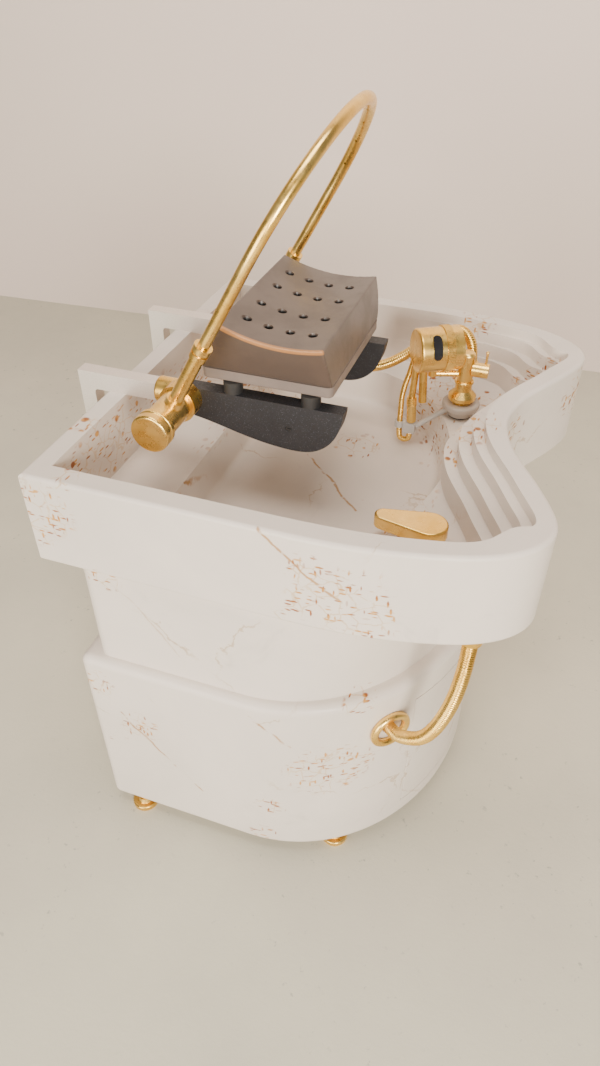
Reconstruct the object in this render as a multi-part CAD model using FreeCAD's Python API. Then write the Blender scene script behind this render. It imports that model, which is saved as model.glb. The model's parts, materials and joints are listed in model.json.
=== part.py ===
"""Head-spa wash basin: stone-look basin on a pedestal and a cabinet, with a cradle for the
neck, a water arch, a ledge faucet and a mixer lever.

Millimetres, +Z up.  The floor is Z = 0.  +X runs from the neck side to the two front lobes,
Y = 0 is the plane of symmetry of the basin, and -Y is the side called near.
"""
import FreeCAD, Part
import math
import os

from FreeCAD import Vector

os.makedirs("parts", exist_ok=True)

# ---------------------------------------------------------------- driving dimensions
BASIN_WIDTH = 600.0          # Y, over the rim
BASIN_BACK_X = -268.0        # outer face of the rim on the neck side
BASIN_TIP_X = 307.0          # outermost point of the two front lobes
WAIST_X = 230.0              # bottom of the concave front between the lobes
RIM_Z = 641.0                # top of the rim
RIM_HEIGHT = 127.0           # skirt of the basin
WALL = 27.0                  # rim wall
RIM_ROUND = 5.0              # rounded outer edges of the rim
LEDGE_DEPTH = 88.0           # rim top to the ledge around the bowl
BOWL_DEPTH = 140.0           # rim top to the floor of the bowl
BOWL_SHELL = 13.0            # thickness under the bowl
BOWL_BACK_X = -148.0         # straight back edge of the bowl
BOWL_CENTRE_X = -28.0        # centre of the half ellipse that closes the bowl in front
BOWL_SEMI_X = 191.0
BOWL_SEMI_Y = 230.0
BOWL_DRAFT = 13.0            # how much the bowl narrows down to its floor
TERRACES = ((0.0, 14.0), (13.0, 32.0), (29.0, 54.0), (45.0, LEDGE_DEPTH))  # setback, depth

PEDESTAL_BACK_X = -228.0
PEDESTAL_CENTRE_X = -18.0
PEDESTAL_SEMI_X = 240.0
PEDESTAL_SEMI_Y = 288.5
PEDESTAL_WALL = 16.0

BASE_BACK_X = -250.0
BASE_CENTRE_X = -16.0
BASE_SEMI_X = 261.5
BASE_SEMI_Y = 303.0
BASE_WALL = 18.0
BASE_TOP_Z = 348.0
BASE_BOTTOM_Z = 23.0

DOOR_HALF_WIDTH = 186.0
DOOR_LOW_Z = 61.0
DOOR_HIGH_Z = 303.0
DOOR_GAP = 2.0

FOOT_BACK = (-204.0, 15.0)   # X of the back feet, and how far inside the cabinet's outline
FOOT_FRONT = (102.0, 27.0)   # the same for the front feet
FOOT_RADIUS = 20.0
STEM_RADIUS = 5.0

CRADLE_Y = 95.5              # centre planes of the two hooks and brackets
HOOK_OUT_X = -307.0
HOOK_WIDTH = 19.0
HOOK_HEIGHT = 24.0
HOOK_LEG = 21.0
HOOK_DROP = 62.0
BRACKET_THICK = 20.0
PIVOT_X = -156.0
PIVOT_Z = RIM_Z + 14.0
SLEEVE_RADIUS = 17.0
SLEEVE_LENGTH = 46.0
STUD_RADIUS = 6.0
RUN_FIT = 0.05               # radial clearance of turning fits
SIDE_FIT = 0.3               # clearance between faces that slide past each other
HUB_RADIUS = 20.0
HUB_LENGTH = 52.7
KNOB_RADIUS = 24.0
KNOB_LENGTH = 19.0

ARCH_HALF_WIDTH = 150.0
ARCH_TILT = 29.5             # lean of the arch towards the front, degrees
ARCH_LEG = 217.0             # pivot to the start of the round top
ARCH_COLLAR_AT = 103.0       # pivot to the middle of the double collar
ARCH_TUBE_RADIUS = 7.0
ARCH_LEG_RADIUS = 8.6
ARCH_BORE_RADIUS = 5.5
COLLAR_RADIUS = 11.0

PAD_HALF_WIDTH = 115.0
PAD_TOP_BACK = (-103.0, 763.0)        # X and Z of the raised back edge
PAD_TOP_FRONT = (25.0, 750.0)
PAD_TOP_LOW = (-28.0, 747.0)
PAD_SEAM_Z = 698.0
PAD_BOTTOM_Z = 684.0
PAD_BACK_X = -132.0
PAD_FRONT_X = 34.0
TRAY_HALF_WIDTH = 101.0

FAUCET_X = 154.5
FAUCET_Y = 138.0
BODY_ANGLE = 30.0            # the mixing body is turned this far from the X axis
BODY_RADIUS = 30.0
BODY_LENGTH = 60.0
BODY_SETBACK = 15.5          # column axis to the end of the mixing body
BODY_Z = RIM_Z + 14.0
MIXER_X = 173.5
MIXER_Y = -167.0
BALL_RADIUS = 19.0
LEVER_THICK = 17.0

HOSE_RADIUS = 9.2
HOSE_PLAY = 0.5              # radial clearance of the hose in the cabinet's wall
OUTLET_Z = 275.0
OUTLET_Y = -221.0
OUTLET_RING = 25.0           # centre line of the trim ring around the outlet
OUTLET_BEAD = 5.4            # radius of the ring's own section

DRAIN_X = -58.0
DRAIN_Y = 110.0
DRAIN_RADIUS = 33.0

BOWL_ROUND = 10.0
BASE_ROUND = 12.0
DRAIN_BORE = 24.0
DRAIN_RIM = 4.0
DRAIN_TAIL = 34.0
STRAINER_RADIUS = 26.0
TRAP_Z = 170.0
WASTE_RADIUS = 16.0
WASTE_Z = 190.0
INLET_RADIUS = 10.5
INLET_Y = -110.0
INLET_Z = 190.0
STUB_LENGTH = 20.0           # how far the waste pipe and the inlet stand out of the back
STUB_STEP = 2.0              # how much thinner they are where they pass the back panel
STEM_DEPTH = 30.0
TAP_SHANK = 8.0
TAP_NUT = 13.0
MIXER_DEPTH = 28.0
FITTING_X = 246.0
FITTING_Y = -238.0
FITTING_SHANK = 8.0
FITTING_DEPTH = 18.0
NUT_HEIGHT = 16.0
KNUCKLE_RADIUS = 5.0
KNUCKLE_HEIGHT = 14.0
HINGE_PIN = 2.0
LEAF_THICK = 2.5
LEAF_WIDTH = 26.0
FOOT_DISC = 8.0

BOSS_FACE = 127.0            # outer face of the pivot boss, from the plane of symmetry
STUD_END = 192.0
BRACKET_TOP = 28.0
SCREW_X = -19.0
SCREW_Z = RIM_Z - 4.0
SCREW_HEAD = 4.0
POSTS_X = (-93.5, 6.0)
POST_RADIUS = 12.0
NOZZLES = 11
NOZZLE_RADIUS = 1.2
PAD_HOLES_X = (-80.5, -54.0, -27.5, 0.0)
PAD_HOLES_Y = (-72.5, -27.0, 27.0, 72.5)
PAD_HOLE_RADIUS = 5.5
PAD_HOLE_DEPTH = 18.0

FLANGE_RADIUS = 26.5
FLANGE_LOW = 13.0            # heights above the ledge
FLANGE_HIGH = 22.0
GASKET_HEIGHT = 2.5
STEP_RADIUS = 17.5
COLUMN_RADIUS = 10.8
COLUMN_TOP_Z = RIM_Z + 11.0
FEED_Z = RIM_Z - 22.0
FEED_RADIUS = 7.5
FEED_GRIP = 6.0              # how deep the feed hose sits in its ports
PORT_X = FAUCET_X + 4.0      # the upright port behind the column
PORT_Y = FAUCET_Y + 19.5
PORT_TOP_Z = FEED_Z + 9.0
CAP_LENGTH = 9.0
RING_START = 13.0
RING_WIDTH = 11.5
RING_SEAT = 28.0
RING_PROUD = 1.8
FLUTES = 84
FLUTE_RADIUS = 0.75
SUPPORT_AT = 32.0            # along the body to the pad under it
WINDOW_AT = 38.0
WINDOW_LEAN = 30.0           # how far the window looks up, degrees
WINDOW_WIDE = 6.0            # half width of the window, and of its round ends
WINDOW_TALL = 16.5            # half height
DIVERTER_X = FAUCET_X + 21.0
DIVERTER_Z = RIM_Z - 14.0
CLIP_X = 89.0
CLIP_Y = 116.0
CLIP_Z = 532.0
CLIP_HALF = 8.0
LEAD_RADIUS = 4.2
ARM_RADIUS = 3.8
LOOP_X = 72.8                # the lead's outer strand beside the clip
SOCKET_HEAD = (89.5, 118.5, 640.0)
SOCKET_WAIST = (87.0, 116.0, 581.0)
SOCKET_FOOT = (89.6, 116.0, 541.5)
SOCKET_RADIUS = 6.8
VENT_HEAD = (98.5, 116.0, 640.0)
VENT_FOOT = (102.8, 116.0, 576.0)
VENT_RADIUS = 5.8
BALL_STEM = 5.0

LEDGE_Z = RIM_Z - LEDGE_DEPTH
BOWL_Z = RIM_Z - BOWL_DEPTH
SKIRT_Z = RIM_Z - RIM_HEIGHT
HALF = BASIN_WIDTH / 2
X = Vector(1, 0, 0)
Y = Vector(0, 1, 0)
Z = Vector(0, 0, 1)


# ---------------------------------------------------------------- helpers
def save(name, shape):
    """Write one node, after a check that its solids are sound."""
    if not shape.isValid() or not shape.Solids:
        raise RuntimeError(name + " is not a sound solid")
    shape.exportStep("parts/" + name + ".step")
    box = shape.BoundBox
    print(f"{name:24s} solids {len(shape.Solids)}  {box.XLength:.1f} x {box.YLength:.1f} x {box.ZLength:.1f}")


def cylinder(radius, start, end):
    """A round bar between two points."""
    start = Vector(*start)
    end = Vector(*end)
    return Part.makeCylinder(radius, (end - start).Length, start, end - start)


def cone(low_radius, high_radius, start, end):
    """A turned taper between two points."""
    start = Vector(*start)
    end = Vector(*end)
    return Part.makeCone(low_radius, high_radius, (end - start).Length, start, end - start)


def block(low, high):
    """A box from its lowest to its highest corner."""
    low = Vector(*low)
    size = Vector(*high) - low
    return Part.makeBox(size.x, size.y, size.z, low)


def fuse(shapes):
    """One solid from pieces that overlap."""
    return shapes[0].multiFuse(shapes[1:]).removeSplitter()


def prism(wire, height):
    """A flat outline raised by a height."""
    return Part.Face(wire).extrude(Vector(0, 0, height))


def edges_at(shape, z):
    """The edges that lie in one level plane."""
    return [e for e in shape.Edges if abs(e.BoundBox.ZMin - z) < 1e-4 and abs(e.BoundBox.ZMax - z) < 1e-4]


def rounded_path(points):
    """Straight runs joined by tangent arcs as large as the runs allow."""
    points = [Vector(*p) for p in points]
    edges = []
    last = points[0]
    for before, corner, after in zip(points, points[1:], points[2:]):
        back = (before - corner).normalize()
        ahead = (after - corner).normalize()
        half_turn = (math.pi - back.getAngle(ahead)) / 2
        cut = 0.45 * min((before - corner).Length, (after - corner).Length)
        radius = cut / math.tan(half_turn)
        centre = corner + (back + ahead).normalize() * (radius / math.cos(half_turn))
        enter = corner + back * cut
        leave = corner + ahead * cut
        middle = centre + (corner - centre).normalize() * radius
        edges.append(Part.LineSegment(last, enter).toShape())
        edges.append(Part.Arc(enter, middle, leave).toShape())
        last = leave
    edges.append(Part.LineSegment(last, points[-1]).toShape())
    return Part.Wire(edges)


def hose(points, radius):
    """A round hose along a route."""
    path = rounded_path(points)
    start = Vector(*points[0])
    along = (Vector(*points[1]) - start).normalize()
    ring = Part.Wire([Part.makeCircle(radius, start, along)])
    solid = path.makePipeShell([ring], True, True)
    ratio = solid.Volume / (math.pi * radius ** 2 * path.Length)
    print(f"   hose of {path.Length:.0f} mm, volume ratio {ratio:.4f}")
    return solid


# ---------------------------------------------------------------- basin
def rim_outline(inset, z, setback=0.0):
    """Outline of the rim: straight back and sides, one curve over both lobes and the waist.

    The front is also pulled back by setback, which makes the terraces.
    """
    side = HALF - inset
    lobe = HALF - 100.0
    waist = WAIST_X - inset
    tip = BASIN_TIP_X - inset
    back = BASIN_BACK_X + inset
    turn = 0.72 * inset
    quarter = [
        (114.0 - setback, side - 3.0),
        (207.0 - turn / 2 - setback, side - 20.0 + turn / 5),
        (264.0 - turn - setback, side - 42.0 + turn / 4),
        (tip - 9.0 - setback, side - 73.0 + turn / 3),
        (tip - setback, lobe + 3.0),
        (tip - 11.0 - setback, lobe - 42.0),
        (waist + 42.0 - setback, 112.0),
        (waist + 17.0 - setback, 67.0),
        (waist + 3.5 - setback, 28.0),
    ]
    side_end = 20.0 - setback
    near = [Vector(x, -y, z) for x, y in quarter]
    far = [Vector(x, y, z) for x, y in reversed(quarter)]
    points = [Vector(side_end, -side, z)] + near + [Vector(waist - setback, 0, z)] + far
    points.append(Vector(side_end, side, z))
    curve = Part.BSplineCurve()
    curve.interpolate(Points=points, InitialTangent=X * 1.0, FinalTangent=X * -1.0)
    corners = [Vector(side_end, side, z), Vector(back, side, z), Vector(back, -side, z),
               Vector(side_end, -side, z)]
    lines = [Part.LineSegment(a, b).toShape() for a, b in zip(corners, corners[1:])]
    return Part.Wire([curve.toShape()] + lines)


def half_ellipse(centre_x, semi_x, semi_y, z):
    """The front half of an ellipse, from the far side round to the near side."""
    shape = Part.Ellipse(Vector(centre_x, semi_y, z), Vector(centre_x + semi_x, 0, z), Vector(centre_x, 0, z))
    return Part.ArcOfEllipse(shape, 0, math.pi).toShape()


def d_outline(back, centre_x, semi_x, semi_y, corner, z):
    """Straight back with round corners, straight sides, half ellipse in front."""
    far_side = Vector(centre_x, semi_y, z)
    near_side = Vector(centre_x, -semi_y, z)
    slope = corner * (1 - math.sqrt(0.5))
    edges = [half_ellipse(centre_x, semi_x, semi_y, z)]
    edges.append(Part.LineSegment(near_side, Vector(back + corner, -semi_y, z)).toShape())
    edges.append(Part.Arc(Vector(back + corner, -semi_y, z), Vector(back + slope, -semi_y + slope, z),
                          Vector(back, -semi_y + corner, z)).toShape())
    edges.append(Part.LineSegment(Vector(back, -semi_y + corner, z),
                                  Vector(back, semi_y - corner, z)).toShape())
    edges.append(Part.Arc(Vector(back, semi_y - corner, z), Vector(back + slope, semi_y - slope, z),
                          Vector(back + corner, semi_y, z)).toShape())
    edges.append(Part.LineSegment(Vector(back + corner, semi_y, z), far_side).toShape())
    return Part.Wire(edges)


def bowl_outline(inset, z):
    """The bowl's edge, drawn in by an inset."""
    return d_outline(BOWL_BACK_X + inset, BOWL_CENTRE_X, BOWL_SEMI_X - inset, BOWL_SEMI_Y - inset, 40.0, z)


def basin_shell():
    """The basin with its terraced ledge and its bowl, open under the ledge."""
    outside = prism(rim_outline(0, SKIRT_Z), RIM_HEIGHT)
    outside = outside.makeFillet(RIM_ROUND, edges_at(outside, RIM_Z) + edges_at(outside, SKIRT_Z))
    under = Part.makeLoft([bowl_outline(BOWL_DRAFT - BOWL_SHELL, BOWL_Z - BOWL_SHELL),
                           bowl_outline(-BOWL_SHELL, SKIRT_Z + 1)], True, True)
    shell = outside.fuse(under)
    start = RIM_Z + 1
    for setback, depth in TERRACES:
        room = prism(rim_outline(WALL, RIM_Z - depth, setback), start - RIM_Z + depth)
        shell = shell.cut(room)
        start = RIM_Z - depth + 1
    bowl = Part.makeLoft([bowl_outline(BOWL_DRAFT, BOWL_Z), bowl_outline(0, LEDGE_Z)], True, True)
    bowl = bowl.makeFillet(BOWL_ROUND, edges_at(bowl, BOWL_Z))
    shell = shell.cut(bowl)
    centre = (DRAIN_X, DRAIN_Y)
    shell = shell.cut(cylinder(DRAIN_BORE, (*centre, BOWL_Z - 2 * BOWL_SHELL), (*centre, BOWL_Z + 1)))
    shell = shell.cut(cylinder(DRAIN_RADIUS + SIDE_FIT, (*centre, BOWL_Z - DRAIN_RIM), (*centre, BOWL_Z + 1)))
    shank = TAP_SHANK + RUN_FIT
    shell = shell.cut(cylinder(shank, (FAUCET_X, FAUCET_Y, SKIRT_Z - 1), (FAUCET_X, FAUCET_Y, LEDGE_Z + 1)))
    shell = shell.cut(cylinder(shank, (MIXER_X, MIXER_Y, LEDGE_Z - MIXER_DEPTH),
                               (MIXER_X, MIXER_Y, LEDGE_Z + 1)))
    fitting = (FITTING_X, FITTING_Y)
    return shell.cut(cylinder(FITTING_SHANK, (*fitting, SKIRT_Z - 1), (*fitting, SKIRT_Z + FITTING_DEPTH)))


# ---------------------------------------------------------------- pedestal, cabinet, door, feet
def pedestal_shell():
    """A hollow plinth between the basin and the cabinet."""
    height = SKIRT_Z - BASE_TOP_Z
    outer = d_outline(PEDESTAL_BACK_X, PEDESTAL_CENTRE_X, PEDESTAL_SEMI_X, PEDESTAL_SEMI_Y, 18.0, BASE_TOP_Z)
    inner = d_outline(PEDESTAL_BACK_X + PEDESTAL_WALL, PEDESTAL_CENTRE_X, PEDESTAL_SEMI_X - PEDESTAL_WALL,
                      PEDESTAL_SEMI_Y - PEDESTAL_WALL, 6.0, BASE_TOP_Z)
    return prism(outer, height).cut(prism(inner, height))


def base_outline(inset, z):
    """The cabinet's outline, drawn in by an inset."""
    return d_outline(BASE_BACK_X + inset, BASE_CENTRE_X, BASE_SEMI_X - inset, BASE_SEMI_Y - inset, 12.0, z)


def door_zone(gap):
    """The block that cuts the door out of the cabinet's front."""
    return block((BASE_CENTRE_X + 100, -DOOR_HALF_WIDTH - gap, DOOR_LOW_Z - gap),
                 (BASE_CENTRE_X + 300, DOOR_HALF_WIDTH + gap, DOOR_HIGH_Z + gap))


def base_cabinet():
    """The cabinet's walls, floor and top, with the door opening and the hole for the hose."""
    height = BASE_TOP_Z - BASE_BOTTOM_Z
    outer = prism(base_outline(0, BASE_BOTTOM_Z), height)
    outer = outer.makeFillet(BASE_ROUND, edges_at(outer, BASE_TOP_Z) + edges_at(outer, BASE_BOTTOM_Z))
    inner = prism(base_outline(BASE_WALL, BASE_BOTTOM_Z + BASE_WALL), height - 2 * BASE_WALL)
    cabinet = outer.cut(inner)
    cabinet = cabinet.cut(door_zone(DOOR_GAP))
    opening = block((-150, -150, BASE_TOP_Z - BASE_WALL - 1), (120, 150, BASE_TOP_Z + 1))
    cabinet = cabinet.cut(opening)
    centre, outward = outlet_place()
    cabinet = cabinet.cut(cylinder(HOSE_RADIUS + HOSE_PLAY, centre - outward * 2 * BASE_WALL,
                                   centre + outward * BASE_WALL))
    for x, y in foot_places():
        cabinet = cabinet.cut(cylinder(STEM_RADIUS + SIDE_FIT, (x, y, BASE_BOTTOM_Z - 1),
                                       (x, y, BASE_BOTTOM_Z + STEM_DEPTH + 2)))
    for radius, y, z in ((WASTE_RADIUS, DRAIN_Y, WASTE_Z), (INLET_RADIUS, INLET_Y, INLET_Z)):
        hole = radius - STUB_STEP + SIDE_FIT
        cabinet = cabinet.cut(cylinder(hole, (BASE_BACK_X - 1, y, z), (BASE_BACK_X + BASE_WALL + 1, y, z)))
    return cabinet


def access_door():
    """The curved front door."""
    height = DOOR_HIGH_Z - DOOR_LOW_Z
    ring = prism(base_outline(0, DOOR_LOW_Z), height).cut(prism(base_outline(BASE_WALL, DOOR_LOW_Z), height))
    return ring.common(door_zone(0))


def door_axis():
    """Where the hinge axis stands: just outside the far edge of the door."""
    share = DOOR_HALF_WIDTH / BASE_SEMI_Y
    x = BASE_CENTRE_X + BASE_SEMI_X * math.sqrt(1 - share * share)
    normal = Vector((x - BASE_CENTRE_X) / BASE_SEMI_X ** 2, DOOR_HALF_WIDTH / BASE_SEMI_Y ** 2, 0).normalize()
    return Vector(x, DOOR_HALF_WIDTH + DOOR_GAP / 2, 0) + normal * (KNUCKLE_RADIUS + LEAF_THICK), normal


def hinge_leaf(side, low, high):
    """A knuckle on the hinge axis with its leaf on the door (-1) or on the cabinet (+1)."""
    axis, normal = door_axis()
    along = Vector(-normal.y, normal.x, 0) * side
    knuckle = cylinder(KNUCKLE_RADIUS, (axis.x, axis.y, low), (axis.x, axis.y, high))
    root = axis - normal * KNUCKLE_RADIUS
    corners = [root, root + along * LEAF_WIDTH, root + along * LEAF_WIDTH - normal * 40, root - normal * 40]
    corners = [Vector(c.x, c.y, low) for c in corners]
    plate = prism(Part.makePolygon(corners + corners[:1]), high - low)
    skin = prism(base_outline(-LEAF_THICK, low), high - low).cut(prism(base_outline(0, low), high - low))
    plate = plate.common(skin)
    neck = prism(Part.makePolygon([Vector(p.x, p.y, low) for p in (
        axis + along * 0.2, axis + along * 4.5 - normal * (KNUCKLE_RADIUS + LEAF_THICK),
        axis + along * 1.2 - normal * (KNUCKLE_RADIUS + LEAF_THICK), axis + along * 0.2)]), high - low)
    wall = prism(base_outline(-RUN_FIT, low), high - low)
    leaf = fuse([knuckle, neck.cut(wall), plate.cut(wall)])
    pin_low = (axis.x, axis.y, low)
    if side > 0:
        return leaf.fuse(cylinder(HINGE_PIN, pin_low, (axis.x, axis.y, 2 * high - low - 2))).removeSplitter()
    return leaf.cut(cylinder(HINGE_PIN + RUN_FIT, (axis.x, axis.y, low - 1), (axis.x, axis.y, high - 1)))


def foot_places():
    """Foot centres, far side first, inside the cabinet's outline by their insets."""
    places = []
    for side in (1, -1):
        for x, inset in (FOOT_BACK, FOOT_FRONT):
            share = max(0.0, x - BASE_CENTRE_X) / BASE_SEMI_X
            places.append((x, side * (BASE_SEMI_Y * math.sqrt(1 - share * share) - inset)))
    return places


def levelling_foot(x, y):
    """A turned glide on a stem that enters the cabinet's floor."""
    glide = cylinder(FOOT_RADIUS, (x, y, 0), (x, y, FOOT_DISC))
    glide = glide.makeFillet(2.0, edges_at(glide, FOOT_DISC))
    taper = cone(FOOT_RADIUS - 7, 8.0, (x, y, FOOT_DISC - 1), (x, y, BASE_BOTTOM_Z - 6))
    nut = cylinder(10.0, (x, y, BASE_BOTTOM_Z - 7), (x, y, BASE_BOTTOM_Z))
    stem = cylinder(STEM_RADIUS, (x, y, FOOT_DISC), (x, y, BASE_BOTTOM_Z + STEM_DEPTH))
    return fuse([glide, taper, nut, stem])


# ---------------------------------------------------------------- waste, pump, supply hose
def drain_flange():
    """The ring that lines the drain hole, with its threaded tail."""
    top = BOWL_Z
    centre = (DRAIN_X, DRAIN_Y)
    ring = cylinder(DRAIN_RADIUS, (*centre, top - DRAIN_RIM), (*centre, top))
    tail = cylinder(DRAIN_BORE - RUN_FIT, (*centre, top - DRAIN_TAIL), (*centre, top - DRAIN_RIM))
    seat = cylinder(STRAINER_RADIUS + SIDE_FIT, (*centre, top - 3), (*centre, top + 1))
    bore = cylinder(DRAIN_BORE - 4, (*centre, top - DRAIN_TAIL - 1), (*centre, top + 1))
    return ring.fuse(tail).cut(bore).cut(seat)


def drain_strainer():
    """A lift-out disc with a ring of holes."""
    top = BOWL_Z
    disc = cylinder(STRAINER_RADIUS, (DRAIN_X, DRAIN_Y, top - 3), (DRAIN_X, DRAIN_Y, top - 0.5))
    for row, count in ((9.0, 6), (17.0, 12)):
        for k in range(count):
            turn = 2 * math.pi * k / count
            x = DRAIN_X + row * math.cos(turn)
            y = DRAIN_Y + row * math.sin(turn)
            disc = disc.cut(cylinder(2.2, (x, y, top - 4), (x, y, top)))
    return disc


def waste_pipe():
    """Tailpiece, bottle trap and the branch that leaves through the cabinet's back."""
    top = BOWL_Z - DRAIN_TAIL
    centre = (DRAIN_X, DRAIN_Y)
    nut = cylinder(DRAIN_BORE + 5, (*centre, top - 12), (*centre, top + 10))
    nut = nut.cut(cylinder(DRAIN_BORE - RUN_FIT, (*centre, top), (*centre, top + 11)))
    pipe = cylinder(WASTE_RADIUS, (*centre, TRAP_Z + 40), (*centre, top - 10))
    trap = cylinder(35.0, (*centre, TRAP_Z - 45), (*centre, TRAP_Z + 45))
    trap = trap.makeFillet(8.0, edges_at(trap, TRAP_Z + 45) + edges_at(trap, TRAP_Z - 45))
    wall = BASE_BACK_X + BASE_WALL
    branch = cylinder(WASTE_RADIUS, (DRAIN_X, DRAIN_Y, WASTE_Z), (wall, DRAIN_Y, WASTE_Z))
    passage = cylinder(WASTE_RADIUS - STUB_STEP, (wall + 1, DRAIN_Y, WASTE_Z),
                       (BASE_BACK_X - 3, DRAIN_Y, WASTE_Z))
    stub = cylinder(WASTE_RADIUS, (BASE_BACK_X - 2, DRAIN_Y, WASTE_Z),
                    (BASE_BACK_X - STUB_LENGTH, DRAIN_Y, WASTE_Z))
    bore = cylinder(WASTE_RADIUS - 3, (*centre, WASTE_Z), (*centre, top + 12))
    mouth = cylinder(WASTE_RADIUS - 3, (DRAIN_X, DRAIN_Y, WASTE_Z),
                     (BASE_BACK_X - STUB_LENGTH - 1, DRAIN_Y, WASTE_Z))
    return fuse([nut, pipe, trap, branch, passage, stub]).cut(bore).cut(mouth)


def water_inlet():
    """The threaded stub in the cabinet's back, with its nut and the pipe down to the pump."""
    wall = BASE_BACK_X + BASE_WALL
    stub = cylinder(INLET_RADIUS, (BASE_BACK_X - STUB_LENGTH, INLET_Y, INLET_Z),
                    (BASE_BACK_X - 2, INLET_Y, INLET_Z))
    passage = cylinder(INLET_RADIUS - STUB_STEP, (BASE_BACK_X - 3, INLET_Y, INLET_Z),
                       (wall + 20, INLET_Y, INLET_Z))
    nut = cylinder(INLET_RADIUS + 6, (wall, INLET_Y, INLET_Z), (wall + 8, INLET_Y, INLET_Z))
    pipe = cylinder(8.0, (wall + 19, INLET_Y, INLET_Z), (-18 - 9, INLET_Y, INLET_Z))
    bore = cylinder(INLET_RADIUS - 4, (BASE_BACK_X - STUB_LENGTH - 1, INLET_Y, INLET_Z),
                    (wall, INLET_Y, INLET_Z))
    return fuse([stub, passage, nut, pipe]).cut(bore)


def water_pump():
    """The circulation pump on the cabinet's floor, with its outlet pipe to the ledge."""
    floor = BASE_BOTTOM_Z + BASE_WALL
    foot = block((-130, -150, floor), (0, -70, floor + 6))
    motor = cylinder(34.0, (-125, -110, floor + 44), (-30, -110, floor + 44))
    stand = block((-115, -130, floor + 5), (-45, -90, floor + 20))
    head = cylinder(40.0, (-30, -110, floor + 44), (-5, -110, floor + 44))
    outlet = cylinder(9.0, (-18, -110, floor + 80), (-18, -110, floor + 175))
    outlet = outlet.cut(cylinder(8.0, (-60, INLET_Y, INLET_Z), (-27, INLET_Y, INLET_Z)))
    return fuse([foot, motor, stand, head, outlet])


def outlet_place():
    """Centre of the hose outlet on the curved wall, and the outward direction there."""
    share = OUTLET_Y / BASE_SEMI_Y
    x = BASE_CENTRE_X + BASE_SEMI_X * math.sqrt(1 - share * share)
    outward = Vector((x - BASE_CENTRE_X) / BASE_SEMI_X ** 2, OUTLET_Y / BASE_SEMI_Y ** 2, 0).normalize()
    return Vector(x, OUTLET_Y, OUTLET_Z), outward


def outlet_ring():
    """The round trim ring around the outlet, open inside and seated on the curved wall."""
    centre, outward = outlet_place()
    ring = Part.makeTorus(OUTLET_RING, OUTLET_BEAD, centre + outward * (OUTLET_BEAD - 1), outward)
    wall = prism(base_outline(-RUN_FIT, OUTLET_Z - 2 * OUTLET_RING), 4 * OUTLET_RING)
    return ring.cut(wall)


def supply_route():
    """The supply hose from the outlet up to the fitting under the near lobe."""
    centre, outward = outlet_place()
    inside = centre - outward * (BASE_WALL - 4)
    top = Vector(FITTING_X, FITTING_Y, SKIRT_Z - NUT_HEIGHT)
    return [tuple(inside), tuple(centre + outward * 14), (194, -247, 298), (212, -257, 320), (225, -262, 350),
            (235, -263, 385), (242, -260, 420), (FITTING_X - 0.5, -251, 453), (FITTING_X, -239.5, 477),
            tuple(top)]


def hose_fitting():
    """The swivel nut under the lobe, with its shank in the basin."""
    base = (FITTING_X, FITTING_Y)
    nut = Part.Face(Part.Wire(Part.makePolygon(
        [Vector(FITTING_X + 15 * math.cos(math.pi * k / 3), FITTING_Y + 15 * math.sin(math.pi * k / 3),
                SKIRT_Z - NUT_HEIGHT) for k in range(7)]))).extrude(Z * NUT_HEIGHT)
    shank = cylinder(FITTING_SHANK, (*base, SKIRT_Z), (*base, SKIRT_Z + FITTING_DEPTH))
    collar = cylinder(13.0, (*base, SKIRT_Z - NUT_HEIGHT - 4), (*base, SKIRT_Z - NUT_HEIGHT))
    bore = cylinder(HOSE_RADIUS + 1.2, (*base, SKIRT_Z - NUT_HEIGHT - 5), (*base, SKIRT_Z - NUT_HEIGHT + 1.5))
    return fuse([nut, shank, collar]).cut(bore)


# ---------------------------------------------------------------- neck cradle and water arch
def hook_bar(side):
    """A bar over the rim with a leg outside the wall."""
    low = side * CRADLE_Y - HOOK_WIDTH / 2
    high = low + HOOK_WIDTH
    sleeve_start = PIVOT_X + 6 - SLEEVE_LENGTH
    bar = block((HOOK_OUT_X, low, RIM_Z), (sleeve_start, high, RIM_Z + HOOK_HEIGHT))
    leg = block((HOOK_OUT_X, low, RIM_Z - HOOK_DROP), (HOOK_OUT_X + HOOK_LEG, high, RIM_Z + 1))
    gusset = block((HOOK_OUT_X + HOOK_LEG, low, RIM_Z - 5), (HOOK_OUT_X + HOOK_LEG + 5, high, RIM_Z))
    round_cut = cylinder(5.0, (HOOK_OUT_X + HOOK_LEG + 5, low - 1, RIM_Z - 5),
                         (HOOK_OUT_X + HOOK_LEG + 5, high + 1, RIM_Z - 5))
    hook = fuse([bar, leg, gusset.cut(round_cut)])
    return hook


def hook_bumpers():
    """Rubber blocks between the legs and the basin's wall."""
    pieces = []
    for side in (-1, 1):
        low = side * CRADLE_Y - HOOK_WIDTH / 2
        pieces.append(block((HOOK_OUT_X + HOOK_LEG, low, RIM_Z - HOOK_DROP),
                            (BASIN_BACK_X, low + HOOK_WIDTH, RIM_Z - HOOK_DROP + 20)))
    return Part.makeCompound(pieces)


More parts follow.
